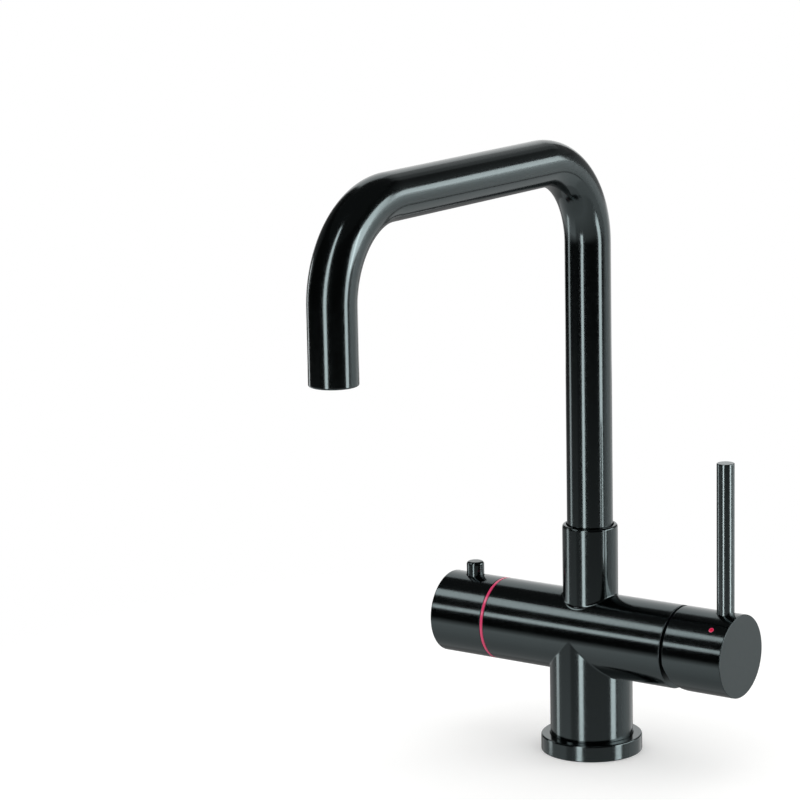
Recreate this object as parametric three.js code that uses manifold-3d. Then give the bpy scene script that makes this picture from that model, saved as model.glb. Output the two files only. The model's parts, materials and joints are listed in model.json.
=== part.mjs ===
// Boiling water tap in millimetres: a kitchen mixer with a second, lockable knob for boiling water.
// +Z is up and the origin is the centre of the foot, on the worktop. The crossbar lies along X with the
// mixer lever at +X and the boiling knob at -X, and the spout reaches towards -Y.

import * as THREE from "three";
import { mergeVertices } from "three/addons/utils/BufferGeometryUtils.js";
import Module from "manifold-3d";

const wasm = await Module();
wasm.setup();

// Clearances
const SEAT = 0.15; // between pieces that are screwed, pressed or clamped together
const RUN = 0.3; // between pieces that move against each other
const PAST = 2; // how far a cutter runs past the face that it opens

// Casting: column, crossbar and neck
const BAR_Z = 65.4; // crossbar axis above the worktop
const BODY_RIGHT = 56.5; // crossbar's end face at the mixer lever, from the column's axis
const BODY_LEFT = 56.2; // crossbar's end face at the boiling knob, from the column's axis
const BODY_WALL = 4.7; // crossbar wall round the mixing cartridge
const BODY_BEVEL = 0.4; // edge break of the crossbar's ends
const NECK_TOP = 126.1; // top of the neck above the worktop
const NECK_WALL = 2; // neck wall round the spout's foot
const NECK_ROUND = 1.2; // rounding of the neck's top edge
const WATERWAY_D = 4.6; // drillings that carry the water through the casting

// Foot
const FLANGE_RIM = 5.1; // how far the foot ring stands out round the column
const FLANGE_HEIGHT = 9;
const FLANGE_ROUND = 0.8; // rounding of the foot ring's top edge
const FOOT_LEDGE = 3; // height of the ledge that the column stands on
const COLUMN_WALL = 4.1; // column wall round the hose manifold
const MANIFOLD_LENGTH = 34; // foot to the manifold's top
const SOCKET_LENGTH = 16; // sockets under the manifold
const HOSE_THREAD_D = 9; // hose sockets
const HOSE_SOCKET_WALL = 1.2;
const STUD_D = 6.8; // tapped sockets for the fixing studs
const STUD_SOCKET_WALL = 1.3;
const STUD_OFFSET = 12.5; // fixing studs from the column's axis
const BOLT_D = 6; // bolt that holds the manifold up in the column
const BOLT_BARREL_D = 9;
const BOLT_GRIP = 4.5; // length of the bolt in the casting
const SOCKET_SIDES = 20;
const GASKET_WIDTH = 2.4;
const GASKET_HEIGHT = 1.8;

// Mixing cartridge
const CARTRIDGE_D = 35;
const CARTRIDGE_LENGTH = 28;
const CARTRIDGE_WALL = 2;
const CARTRIDGE_TOP = 3; // thickness of the housing's outer end
const CARTRIDGE_BASE = 7; // thickness of the base plate with the ports
const SEAL_THICKNESS = 1.6; // flat seals
const PORT_SIDE = 7; // hot and cold ports, sideways from the crossbar's axis
const PORT_RISE = 5.5; // hot and cold ports, above the crossbar's axis
const MIXED_DROP = 4; // mixed port, below the crossbar's axis
const INLET_RISER_X = 9; // upward drillings of hot and cold water
const MIXED_RISER_X = 8.2; // upward drilling of mixed water
const DISC_THICKNESS = 3.5; // ceramic discs
const NUT_THICKNESS = 5;
const ROTOR_NECK_D = 22;
const PIVOT_INSET = 4.5; // lever's tilt axis, inside the crossbar's end face
const STEM_WIDTH = 8; // square stem
const STEM_ARM = 10.5; // tilt axis to the ball that slides the disc
const BALL_D = 6;
const BALL_WAIST_D = 3.6; // stem behind the ball
const BALL_SOCKET_WALL = 1.6; // wall of the disc carrier's boss round the ball
const STEM_LAP = 1; // how far the waist runs into the shank
const PIN_D = 3;
const DOME_SKIRT = 2;
const DOME_REACH = 6.5; // how far the dome stands out of the crossbar
const DOME_WALL = 1.5;
const DOME_HOLE_D = 18.4;
const DOME_STEPS = 3;
const LEVER_TILT = 15; // degrees from closed to fully open

// Mixer lever
const SEAM = 1.7; // gap between crossbar and lever cap
const CAP_LENGTH = 35.4;
const CAP_WALL = 2.5;
const CAP_BLOCK = 17.6; // solid outer end of the cap
const CAP_BEVEL = 0.4;
const CAP_ROUND = 13; // rounding of the cap's lower inner edge
const CAP_ROUND_START = 13; // where that rounding starts, below the crossbar's axis
const STEM_INSET = 5.6; // end of the stem, inside the cap's end face
const LEVER_D = 9.5;
const LEVER_INSET = 9.3; // lever's axis, inside the cap's end face
const LEVER_TOP = 169.2; // top of the lever above the worktop
const LEVER_SINK = 3.5; // depth of the lever's full diameter in the cap
const LEVER_THREAD_D = 6;
const LEVER_ROUND = 0.5;
const LEVER_SIDES = 16;
const SET_SCREW_D = 5;
const SET_SCREW_LENGTH = 8;
const PLUG_LENGTH = 3;
const MARK_D = 2.8; // hot and cold marks
const MARK_DEPTH = 0.8;
const MARK_TURN = 42; // degrees from the top of the cap

// Boiling valve and knob
const VALVE_D = 24;
const VALVE_LENGTH = 24; // part of the headwork inside the crossbar
const VALVE_NECK_D = 18.8;
const VALVE_NECK_LENGTH = 22;
const VALVE_WALL = 2.6; // wall round the ceramic discs
const BOIL_PORT_RISE = 5.2; // ports above and below the crossbar's axis
const BOIL_RISER_X = 10.5; // upward drilling of boiling water
const SPINDLE_D = 8;
const CLIP_WIDTH = 2;
const CLIP_THICKNESS = 0.8;
const RING_WIDTH = 1.5; // red ring
const RING_DEPTH = 3; // how deep the red ring reaches in under the surface
const COLLAR_D = 30;
const COLLAR_FLANGE = 2;
const TRACK_SLACK = 2; // degrees by which the collar's groove runs past both stops
const KNOB_LENGTH = 32.8;
const KNOB_WALL = 2.5;
const KNOB_END = 8; // thickness of the knob's outer end
const KNOB_BEVEL = 0.5;
const KNOB_SCREW_D = 4;
const KNOB_SCREW_LENGTH = 8;
const KNOB_TURN = 90; // degrees from closed to fully open

// Lock button
const BUTTON_INSET = 15.5; // button's axis, inside the knob's end face
const BUTTON_D = 9.7;
const BUTTON_HEIGHT = 7.6; // how far the button stands out of the knob
const BUTTON_ROUND = 1;
const BUTTON_TRAVEL = 2.5;
const BUTTON_SIDES = 16;
const BUTTON_STEM_D = 3;
const BUTTON_STEM_TAIL = 1; // end of the button's stem below its clip
const BUTTON_SINK = 1.5; // depth of the button's skirt below the knob's surface
const BUTTON_WALL = 1.3;
const BUTTON_ROOF = 3.5;
const BOSS_WALL = 2; // wall round the button's bore inside the knob
const BOSS_FLOOR = 1.6;
const SPRING_WIRE_D = 0.7;
const SPRING_TURNS = 5;

// Spout
const TUBE_D = 24.8;
const TUBE_WALL = 1.2;
const NECK_GAP = 0.6; // between spout and neck
const SPOUT_Z = 327.2; // centreline of the spout's arm above the worktop
const SPOUT_REACH = 228.7; // riser axis to outlet axis
const BEND_RADIUS = 47.3; // centreline of both bends
const OUTLET_DROP = 38; // straight end of the spout below its second bend
const BEND_STEPS = 8;
const TUBE_SINK = 8; // depth of the spout's foot in the neck
const BUSH_LENGTH = 25.5;
const BUSH_WALL = 4.4;
const BUSH_SPIGOT = 6;
const BUSH_LIP = 1.5; // bush above its bearing ring
const BEARING_HEIGHT = 3;
const ORING_D = 2.4;
const GROOVE_STEP = 6.4; // from one groove of the bush to the next
const STOP_GROOVE_HEIGHT = 4;
const STOP_GROOVE_DEPTH = 2;
const STOP_SCREW_D = 3.4;
const STOP_SCREW_BEARING = 90; // degrees round from +X: at the back of the neck
const SWIVEL = 75; // degrees each way
const INNER_TUBE_D = 8;
const INNER_TUBE_WALL = 1;
const INNER_SEAT_DEPTH = 8;
const AERATOR_RECESS = 0.8;
const AERATOR_LENGTH = 12;
const AERATOR_WALL = 1.5;
const INSERT_RECESS = 0.5; // jet plate inside its housing's lower end
const INSERT_THICKNESS = 4.5;
const INSERT_HOLES = 8;
const INSERT_HOLE_D = 2.2;

// Derived sizes that several pieces share
const CARTRIDGE_R = CARTRIDGE_D / 2;
const SOCKET_R = CARTRIDGE_R + 2 * SEAT;
const BODY_R = SOCKET_R + BODY_WALL;
const COLUMN_BORE_R = BODY_R - COLUMN_WALL;
const FLANGE_R = BODY_R + FLANGE_RIM;
const TUBE_R = TUBE_D / 2;
const NECK_BORE_R = TUBE_R + NECK_GAP;
const NECK_R = NECK_BORE_R + NECK_WALL;
const WATERWAY_R = WATERWAY_D / 2;
const GASKET_R = (BODY_R + FLANGE_R) / 2 - GASKET_WIDTH / 2;
const MANIFOLD_R = COLUMN_BORE_R - 2 * SEAT;
const MANIFOLD_GASKET_Z = MANIFOLD_LENGTH + SEAT;
const MANIFOLD_Z = SOCKET_LENGTH + SEAT;
const COLUMN_TOP = MANIFOLD_GASKET_Z + SEAL_THICKNESS;
const CASTING_FOOT = COLUMN_TOP + SEAT;
const BOLT_R = BOLT_D / 2;
const BOLT_TOP = CASTING_FOOT + BOLT_GRIP;

// Mixer side, from the crossbar's end face inwards
const DOME_START = BODY_RIGHT - DOME_SKIRT;
const NUT_START = DOME_START - SEAT - NUT_THICKNESS;
const HOUSING_END = NUT_START - SEAT;
const HOUSING_START = HOUSING_END - CARTRIDGE_LENGTH;
const CARTRIDGE_SEAL_START = HOUSING_START - SEAT - SEAL_THICKNESS;
const CARTRIDGE_FLOOR = CARTRIDGE_SEAL_START - SEAT;
const CHAMBER_R = CARTRIDGE_R - CARTRIDGE_WALL;
const FIXED_DISC_START = HOUSING_START + CARTRIDGE_BASE + SEAT;
const MOVING_DISC_START = FIXED_DISC_START + DISC_THICKNESS + SEAT;
const CARRIER_START = MOVING_DISC_START + DISC_THICKNESS + SEAT;
const PIVOT_X = BODY_RIGHT - PIVOT_INSET;
const BALL_R = BALL_D / 2;
const BALL_X = PIVOT_X - STEM_ARM;
const CARRIER_TOP = BALL_X - BALL_R;
const CARRIER_BOSS_TOP = BALL_X + BALL_R - 2 * RUN;
const ROTOR_START = CARRIER_TOP + RUN;
const ROTOR_SHOULDER = HOUSING_END - CARTRIDGE_TOP - RUN;
const ROTOR_NECK_R = ROTOR_NECK_D / 2;
const DISC_TRAVEL = STEM_ARM * Math.sin(THREE.MathUtils.degToRad(LEVER_TILT));
const MOVING_DISC_R = CHAMBER_R - DISC_TRAVEL / 2 - 3 * RUN;
const CARRIER_BOSS = BALL_R + BALL_SOCKET_WALL; // half width of the boss that holds the ball
const SLOT_HALF_Z = CARRIER_BOSS + DISC_TRAVEL + RUN;
const SLOT_HALF_Y = CARRIER_BOSS + RUN;
const DOME_R = Math.hypot(CARTRIDGE_R, PIVOT_INSET); // dome is a sphere about the tilt axis
const CAP_START = BODY_RIGHT + SEAM;
const CAP_END = CAP_START + CAP_LENGTH;
const CAP_FLOOR = CAP_END - CAP_BLOCK;
const STEM_END = CAP_END - STEM_INSET;
const LEVER_X = CAP_END - LEVER_INSET;

// Boiling side, from the crossbar's end face inwards and outwards
const VALVE_R = VALVE_D / 2;
const VALVE_START = BODY_LEFT - VALVE_LENGTH;
const VALVE_SEAL_START = VALVE_START - SEAT - SEAL_THICKNESS;
const VALVE_FLOOR = VALVE_SEAL_START - SEAT;
const VALVE_CHAMBER_R = VALVE_R - VALVE_WALL;
const BOIL_TURNING_START = VALVE_START + DISC_THICKNESS + SEAT;
const SPINDLE_START = BOIL_TURNING_START + DISC_THICKNESS + SEAT;
const RING_START = BODY_LEFT + SEAT;
const KNOB_START = RING_START + RING_WIDTH + RUN / 2;
const KNOB_OUTER = KNOB_START + KNOB_LENGTH;
const KNOB_FLOOR = KNOB_OUTER - KNOB_END;
const KNOB_BORE_R = BODY_R - KNOB_WALL;
const VALVE_NECK_END = BODY_LEFT + VALVE_NECK_LENGTH;
const CLIP_START = VALVE_NECK_END + RUN;
const SPINDLE_R = SPINDLE_D / 2;
const SPINDLE_END = KNOB_OUTER - KNOB_END / 3;
const COLLAR_START = RING_START + RING_WIDTH + SEAT;
const COLLAR_R = COLLAR_D / 2;
const BUTTON_X = KNOB_OUTER - BUTTON_INSET;
const BUTTON_R = BUTTON_D / 2;
const BUTTON_STEM_R = BUTTON_STEM_D / 2;
const BUTTON_FOOT = BODY_R - BUTTON_SINK; // all button levels are measured from the crossbar's axis
const BOSS_WEB_TOP = BUTTON_FOOT - BUTTON_TRAVEL - RUN;
const BOSS_WEB_BOTTOM = BOSS_WEB_TOP - BOSS_FLOOR;
const BUTTON_CLIP_TOP = BOSS_WEB_BOTTOM - SEAT;
const BUTTON_STEM_END = BUTTON_CLIP_TOP - CLIP_THICKNESS - BUTTON_STEM_TAIL;
const STOP_TRACK_R = BUTTON_STEM_END - BUTTON_TRAVEL - RUN;
const COLLAR_BORE_R = VALVE_NECK_D / 2 + SEAT;

// Spout
const OUTLET_Z = SPOUT_Z - BEND_RADIUS - OUTLET_DROP;
const TUBE_BORE_R = TUBE_R - TUBE_WALL;
const TUBE_FOOT = NECK_TOP - TUBE_SINK;
const BUSH_TOP = TUBE_FOOT - SEAT;
const BUSH_BOTTOM = BUSH_TOP - BUSH_LENGTH;
const NECK_FLOOR = BUSH_BOTTOM - RUN;
const BUSH_R = TUBE_R;
const BUSH_BORE_R = BUSH_R - BUSH_WALL;
const STOP_GROOVE_Z = BUSH_BOTTOM + STOP_GROOVE_HEIGHT;
const GROOVE_TOP = BUSH_TOP - BUSH_LIP;
const INNER_TUBE_R = INNER_TUBE_D / 2;
const INNER_SEAT_Z = NECK_FLOOR - INNER_SEAT_DEPTH;
const AERATOR_Z = OUTLET_Z + AERATOR_RECESS;
const AERATOR_TOP = AERATOR_Z + AERATOR_LENGTH;
const INSERT_Z = AERATOR_Z + INSERT_RECESS;
const INSERT_TOP = INSERT_Z + INSERT_THICKNESS;

// Finishes: colour, roughness, metalness
const DARK_METAL = [0x2b2f30, 0.32, 0.95];
const BRASS = [0xb8924a, 0.4, 0.9];
const STEEL = [0xa8abad, 0.35, 0.9];
const RUBBER = [0x1b1b1c, 0.8, 0];
const CERAMIC = [0xe9e4da, 0.3, 0];
const PLASTIC = [0xd8d8d2, 0.5, 0];
const GREY_PLASTIC = [0x6d7173, 0.5, 0];
const RED = [0xd8345f, 0.35, 0];
const BLUE = [0x2f6fc4, 0.35, 0];

// ---- Geometry helpers ----

// Sides of a round of the given radius: the flats stay within 0.25 mm of the true circle.
function sidesOf(radius) {
  if (radius > 14) return 24;
  if (radius > 6) return 20;
  if (radius > 3) return 12;
  return 10;
}

// A closed three.js geometry as a solid that can be joined and cut.
function solid(geometry) {
  const bare = geometry.clone();
  bare.deleteAttribute("normal");
  bare.deleteAttribute("uv");
  const merged = mergeVertices(bare, 1e-4);
  const corners = [];
  for (let i = 0; i < merged.index.count; i += 3) {
    const face = [0, 1, 2].map((k) => merged.index.getX(i + k));
    if (new Set(face).size === 3) corners.push(...face);
  }
  const build = (list) =>
    new wasm.Manifold(
      new wasm.Mesh({
        numProp: 3,
        vertProperties: merged.attributes.position.array,
        triVerts: new Uint32Array(list),
      }),
    );
  const made = build(corners);
  return made.volume() > 0 ? made : build(corners.reverse());
}

// Turns a geometry made about Y so that it lies about the given axis.
function alongAxis(geometry, axis) {
  if (axis === "x") return geometry.rotateZ(-Math.PI / 2);
  if (axis === "z") return geometry.rotateX(Math.PI / 2);
  return geometry;
}

// Revolves an outline of [radius, distance along the axis] points about a line through the point at.
function turned(axis, outline, at = [0, 0, 0], sides = 0) {
  const points = outline.map(([radius, along]) => new THREE.Vector2(radius, along));
  if (outline[0][0] > 0) points.push(points[0].clone());
  if (THREE.ShapeUtils.area(points) < 0) points.reverse();
  const widest = Math.max(...outline.map(([radius]) => radius));
  const round = new THREE.LatheGeometry(points, sides || sidesOf(widest));
  return solid(alongAxis(round, axis).translate(...at));
}

// A round bar, or a ring where inner is over 0, between two distances along an axis.
function rod(axis, outer, from, to, at, sides) {
  return turned(axis, [[0, from], [outer, from], [outer, to], [0, to]], at, sides);
}

function ring(axis, inner, outer, from, to, at, sides) {
  return turned(axis, [[inner, from], [outer, from], [outer, to], [inner, to]], at, sides);
}

// A block between two corners.
function block([x0, y0, z0], [x1, y1, z1]) {
  const box = new THREE.BoxGeometry(x1 - x0, y1 - y0, z1 - z0);
  return solid(box.translate((x0 + x1) / 2, (y0 + y1) / 2, (z0 + z1) / 2));
}

// Points of a quarter round about the centre [radius, along], from its widest point to its far end.
function quarterRound([radius, along], rounding, steps = 3) {
  const points = [];
  for (let i = 0; i <= steps; i += 1) {
    const angle = ((Math.PI / 2) * i) / steps;
    points.push([radius + rounding * Math.cos(angle), along + rounding * Math.sin(angle)]);
  }
  return points;
}

// A sector of a ring about Z: from the inner to the outer radius, and between two angles in degrees.
function sector(inner, outer, from, to, z0, z1) {
  const start = THREE.MathUtils.degToRad(from);
  const end = THREE.MathUtils.degToRad(to);
  const outline = new THREE.Shape();
  outline.absarc(0, 0, outer, start, end, false);
  outline.absarc(0, 0, inner, end, start, true);
  const slab = new THREE.ExtrudeGeometry(outline, {
    depth: z1 - z0,
    bevelEnabled: false,
    curveSegments: 14,
  });
  return solid(slab.translate(0, 0, z0));
}

function joined(first, ...others) {
  return others.reduce((sum, other) => sum.add(other), first);
}

function cut(first, ...others) {
  return others.reduce((rest, other) => rest.subtract(other), first);
}

// The named mesh of a sub-part.
function piece(name, body, [color, roughness, metalness]) {
  const faces = body.getMesh();
  const geometry = new THREE.BufferGeometry();
  geometry.setAttribute("position", new THREE.BufferAttribute(new Float32Array(faces.vertProperties), 3));
  geometry.setIndex(new THREE.BufferAttribute(new Uint32Array(faces.triVerts), 1));
  geometry.computeVertexNormals();
  const material = new THREE.MeshStandardMaterial({ color, roughness, metalness });
  const mesh = new THREE.Mesh(geometry, material);
  mesh.name = name;
  return mesh;
}

const ON_BAR = [0, 0, BAR_Z]; // pieces about the crossbar's axis are turned about X through this point

// ---- Casting and column ----

// Waterways: upward drillings from the manifold, level drillings to both valves, and up into the neck.
function waterways() {
  const low = CASTING_FOOT - PAST;
  const inletZ = BAR_Z + PORT_RISE;
  const mixedZ = BAR_Z - MIXED_DROP;
  const boilInZ = BAR_Z - BOIL_PORT_RISE;
  const boilOutZ = BAR_Z + BOIL_PORT_RISE;
  const up = (x, y, from, to) => rod("z", WATERWAY_R, from, to, [x, y, 0]);
  const level = (from, to, y, z) => rod("x", WATERWAY_R, from, to, [0, y, z]);
  const inlets = [-PORT_SIDE, PORT_SIDE].flatMap((y) => [
    up(INLET_RISER_X, y, low, inletZ + WATERWAY_R),
    level(INLET_RISER_X, CARTRIDGE_FLOOR + PAST, y, inletZ),
  ]);
  return [
    ...inlets,
    level(MIXED_RISER_X, CARTRIDGE_FLOOR + PAST, 0, mixedZ),
    up(MIXED_RISER_X, 0, mixedZ - WATERWAY_R, NECK_FLOOR + PAST),
    up(-BOIL_RISER_X, 0, low, boilInZ + WATERWAY_R),
    level(-VALVE_FLOOR - PAST, -BOIL_RISER_X, 0, boilInZ),
    level(-VALVE_FLOOR - PAST, 0, 0, boilOutZ),
    up(0, 0, boilOutZ - WATERWAY_R, INNER_SEAT_Z + PAST),
  ];
}

function bodyCasting() {
  const stub = rod("z", BODY_R, CASTING_FOOT, BAR_Z);
  const bar = turned("x", [
    [0, -BODY_LEFT],
    [BODY_R - BODY_BEVEL, -BODY_LEFT],
    [BODY_R, BODY_BEVEL - BODY_LEFT],
    [BODY_R, BODY_RIGHT - BODY_BEVEL],
    [BODY_R - BODY_BEVEL, BODY_RIGHT],
    [0, BODY_RIGHT],
  ], ON_BAR);
  const neck = turned("z", [
    [0, BAR_Z],
    [NECK_R, BAR_Z],
    ...quarterRound([NECK_R - NECK_ROUND, NECK_TOP - NECK_ROUND], NECK_ROUND),
    [0, NECK_TOP],
  ]);
  const tubeGroove = rod("z", INNER_TUBE_R + ORING_D, innerGrooveZ() - SEAT, innerGrooveZ() + ORING_D + SEAT);
  return cut(
    joined(stub, bar, neck),
    rod("z", BOLT_R + SEAT, CASTING_FOOT - PAST, BOLT_TOP + SEAT),
    rod("x", SOCKET_R, CARTRIDGE_FLOOR, BODY_RIGHT + PAST, ON_BAR),
    rod("x", VALVE_R + 2 * SEAT, -BODY_LEFT - PAST, -VALVE_FLOOR, ON_BAR),
    rod("z", NECK_BORE_R, NECK_FLOOR, NECK_TOP + PAST),
    rod("z", INNER_TUBE_R + RUN, INNER_SEAT_Z, NECK_FLOOR + PAST),
    tubeGroove,
    rod("y", STOP_SCREW_D / 2 + SEAT, NECK_BORE_R - PAST, NECK_R + PAST, [0, 0, STOP_GROOVE_Z]),
    ...waterways(),
  );
}

// Tube brazed under the casting and ground flush with it.
function column() {
  return ring("z", COLUMN_BORE_R, BODY_R, FOOT_LEDGE + SEAT, COLUMN_TOP);
}

// Height of the groove that holds the seal of the boiling tube.
function innerGrooveZ() {
  return INNER_SEAT_Z + INNER_SEAT_DEPTH / 2 - ORING_D / 2;
}

// ---- Foot ----

function baseFlange() {
  const outline = [
    [COLUMN_BORE_R + COLUMN_WALL / 4, 0],
    [FLANGE_R, 0],
    ...quarterRound([FLANGE_R - FLANGE_ROUND, FLANGE_HEIGHT - FLANGE_ROUND], FLANGE_ROUND),
    [BODY_R + 2 * SEAT, FLANGE_HEIGHT],
    [BODY_R + 2 * SEAT, FOOT_LEDGE],
    [COLUMN_BORE_R + COLUMN_WALL / 4, FOOT_LEDGE],
  ];
  const groove = ring(
    "z",
    GASKET_R - SEAT,
    GASKET_R + GASKET_WIDTH + SEAT,
    -PAST,
    GASKET_HEIGHT + SEAT,
  );
  return cut(turned("z", outline), groove);
}

function baseGasket() {
  return ring("z", GASKET_R, GASKET_R + GASKET_WIDTH, 0, GASKET_HEIGHT);
}

// Where the three waters enter.
const HOT_INLET = [INLET_RISER_X, -PORT_SIDE, 0];
const COLD_INLET = [INLET_RISER_X, PORT_SIDE, 0];
const BOILING_INLET = [-BOIL_RISER_X, 0, 0];

// A disc with holes for the three waters and for the manifold's bolt.
function waterDisc(from, to) {
  const ways = [HOT_INLET, COLD_INLET, BOILING_INLET].map((at) =>
    rod("z", WATERWAY_R, from - PAST, to + PAST, at),
  );
  return cut(rod("z", MANIFOLD_R, from, to), rod("z", BOLT_R + SEAT, from - PAST, to + PAST), ...ways);
}

function hoseManifold() {
  return waterDisc(MANIFOLD_Z, MANIFOLD_LENGTH);
}

function manifoldGasket() {
  return waterDisc(MANIFOLD_GASKET_Z, MANIFOLD_GASKET_Z + SEAL_THICKNESS);
}

// Sockets are brazed under the manifold: hoses and fixing studs screw into them from below.
function hoseSocket(at) {
  const bore = HOSE_THREAD_D / 2;
  return ring("z", bore, bore + HOSE_SOCKET_WALL, 0, SOCKET_LENGTH, at, SOCKET_SIDES);
}

function studSocket(y) {
  const bore = STUD_D / 2;
  return ring("z", bore, bore + STUD_SOCKET_WALL, 0, SOCKET_LENGTH, [0, y, 0], SOCKET_SIDES);
}

// Bolt through the manifold into the casting, with a long barrel that ends level with the foot.
function manifoldBolt() {
  const barrel = BOLT_BARREL_D / 2;
  return turned("z", [
    [0, 0],
    [barrel, 0],
    [barrel, SOCKET_LENGTH],
    [BOLT_R, SOCKET_LENGTH],
    [BOLT_R, BOLT_TOP],
    [0, BOLT_TOP],
  ]);
}

// ---- Mixing cartridge ----

// Hot, cold and mixed ports through a piece between two distances along the crossbar.
function mixerPorts(from, to) {
  const places = [
    [-PORT_SIDE, PORT_RISE],
    [PORT_SIDE, PORT_RISE],
    [0, -MIXED_DROP],
  ];
  return places.map(([y, z]) => rod("x", WATERWAY_R, from - PAST, to + PAST, [0, y, BAR_Z + z]));
}

function ported(radius, from, to) {
  return cut(rod("x", radius, from, to, ON_BAR), ...mixerPorts(from, to));
}

function cartridgeSeal() {
  return ported(CARTRIDGE_R, CARTRIDGE_SEAL_START, CARTRIDGE_SEAL_START + SEAL_THICKNESS);
}

function cartridgeBase() {
  return ported(CHAMBER_R - SEAT, HOUSING_START, HOUSING_START + CARTRIDGE_BASE);
}

function cartridgeFixedDisc() {
  return ported(CHAMBER_R - SEAT, FIXED_DISC_START, FIXED_DISC_START + DISC_THICKNESS);
}

function cartridgeHousing() {
  const inner = HOUSING_END - CARTRIDGE_TOP;
  const hole = ROTOR_NECK_R + RUN;
  return turned("x", [
    [CHAMBER_R, HOUSING_START],
    [CARTRIDGE_R, HOUSING_START],
    [CARTRIDGE_R, HOUSING_END],
    [hole, HOUSING_END],
    [hole, inner],
    [CHAMBER_R, inner],
  ], ON_BAR);
}

function cartridgeNut() {
  return ring("x", ROTOR_NECK_R + 3 * RUN, CARTRIDGE_R, NUT_START, NUT_START + NUT_THICKNESS, ON_BAR);
}

// The moving disc's pocket joins the mixed port to the hot and cold ports as the disc slides up.
function cartridgeMovingDisc() {
  const centre = BAR_Z - DISC_TRAVEL / 2;
  const pocketTop = BAR_Z + PORT_RISE - WATERWAY_R - 2 * RUN;
  const pocketBottom = BAR_Z - MIXED_DROP - WATERWAY_R;
  const pocket = block(
    [MOVING_DISC_START - PAST, -PORT_SIDE - WATERWAY_R / 2, pocketBottom],
    [MOVING_DISC_START + DISC_THICKNESS / 2, PORT_SIDE + WATERWAY_R / 2, pocketTop],
  );
  const disc = rod("x", MOVING_DISC_R, MOVING_DISC_START, MOVING_DISC_START + DISC_THICKNESS, [0, 0, centre]);
  return cut(disc, pocket);
}

function discCarrier() {
  const plate = rod("x", MOVING_DISC_R, CARRIER_START, CARRIER_TOP, [0, 0, BAR_Z - DISC_TRAVEL / 2]);
  const boss = block(
    [CARRIER_START + SEAT, -CARRIER_BOSS, BAR_Z - CARRIER_BOSS],
    [CARRIER_BOSS_TOP, CARRIER_BOSS, BAR_Z + CARRIER_BOSS],
  );
  const socket = rod("x", BALL_R + RUN, BALL_X - BALL_R - RUN, CARRIER_BOSS_TOP + PAST, ON_BAR);
  return cut(joined(plate, boss), socket);
}

function cartridgeRotor() {
  const end = PIVOT_X + PIN_D + SEAT;
  const outer = turned("x", [
    [0, ROTOR_START],
    [CHAMBER_R - RUN, ROTOR_START],
    [CHAMBER_R - RUN, ROTOR_SHOULDER],
    [ROTOR_NECK_R, ROTOR_SHOULDER],
    [ROTOR_NECK_R, end],
    [0, end],
  ], ON_BAR);
  const slot = block(
    [ROTOR_START - PAST, -SLOT_HALF_Y, BAR_Z - SLOT_HALF_Z],
    [end + PAST, SLOT_HALF_Y, BAR_Z + SLOT_HALF_Z],
  );
  const pinHole = rod("y", PIN_D / 2 + SEAT, -ROTOR_NECK_R - PAST, ROTOR_NECK_R + PAST, [PIVOT_X, 0, BAR_Z]);
  return cut(outer, slot, pinHole);
}

function stemPin() {
  const half = ROTOR_NECK_R - 2 * SEAT;
  return rod("y", PIN_D / 2, -half, half, [PIVOT_X, 0, BAR_Z]);
}

function cartridgeStem() {
  const half = STEM_WIDTH / 2;
  const start = BALL_X + BALL_R + RUN + half * Math.sin(THREE.MathUtils.degToRad(LEVER_TILT));
  const shank = block([start, -half, BAR_Z - half], [STEM_END, half, BAR_Z + half]);
  const waist = rod("x", BALL_WAIST_D / 2, BALL_X, start + STEM_LAP, ON_BAR);
  const ball = solid(new THREE.SphereGeometry(BALL_R, 12, 8).translate(BALL_X, 0, BAR_Z));
  const pinHole = rod("y", PIN_D / 2 + RUN, -half - PAST, half + PAST, [PIVOT_X, 0, BAR_Z]);
  return cut(joined(shank, waist, ball), pinHole);
}

// A thin spherical cap about the tilt axis, with a skirt in the crossbar and a hole for the stem.
function domeCover() {
  const top = BODY_RIGHT + DOME_REACH;
  const arc = (radius, from, to) => {
    const points = [];
    for (let i = 0; i <= DOME_STEPS; i += 1) {
      const x = from + ((to - from) * i) / DOME_STEPS;
      points.push([Math.sqrt(radius ** 2 - (x - PIVOT_X) ** 2), x]);
    }
    return points;
  };
  const hollow = DOME_R - DOME_WALL;
  return turned("x", [
    [CARTRIDGE_R - DOME_WALL, DOME_START],
    [CARTRIDGE_R, DOME_START],
    ...arc(DOME_R, BODY_RIGHT, top),
    [DOME_HOLE_D / 2, top],
    [DOME_HOLE_D / 2, top - DOME_WALL],
    ...arc(hollow, BODY_RIGHT, top - DOME_WALL).reverse(),
  ], ON_BAR);
}

// ---- Mixer lever ----

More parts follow.
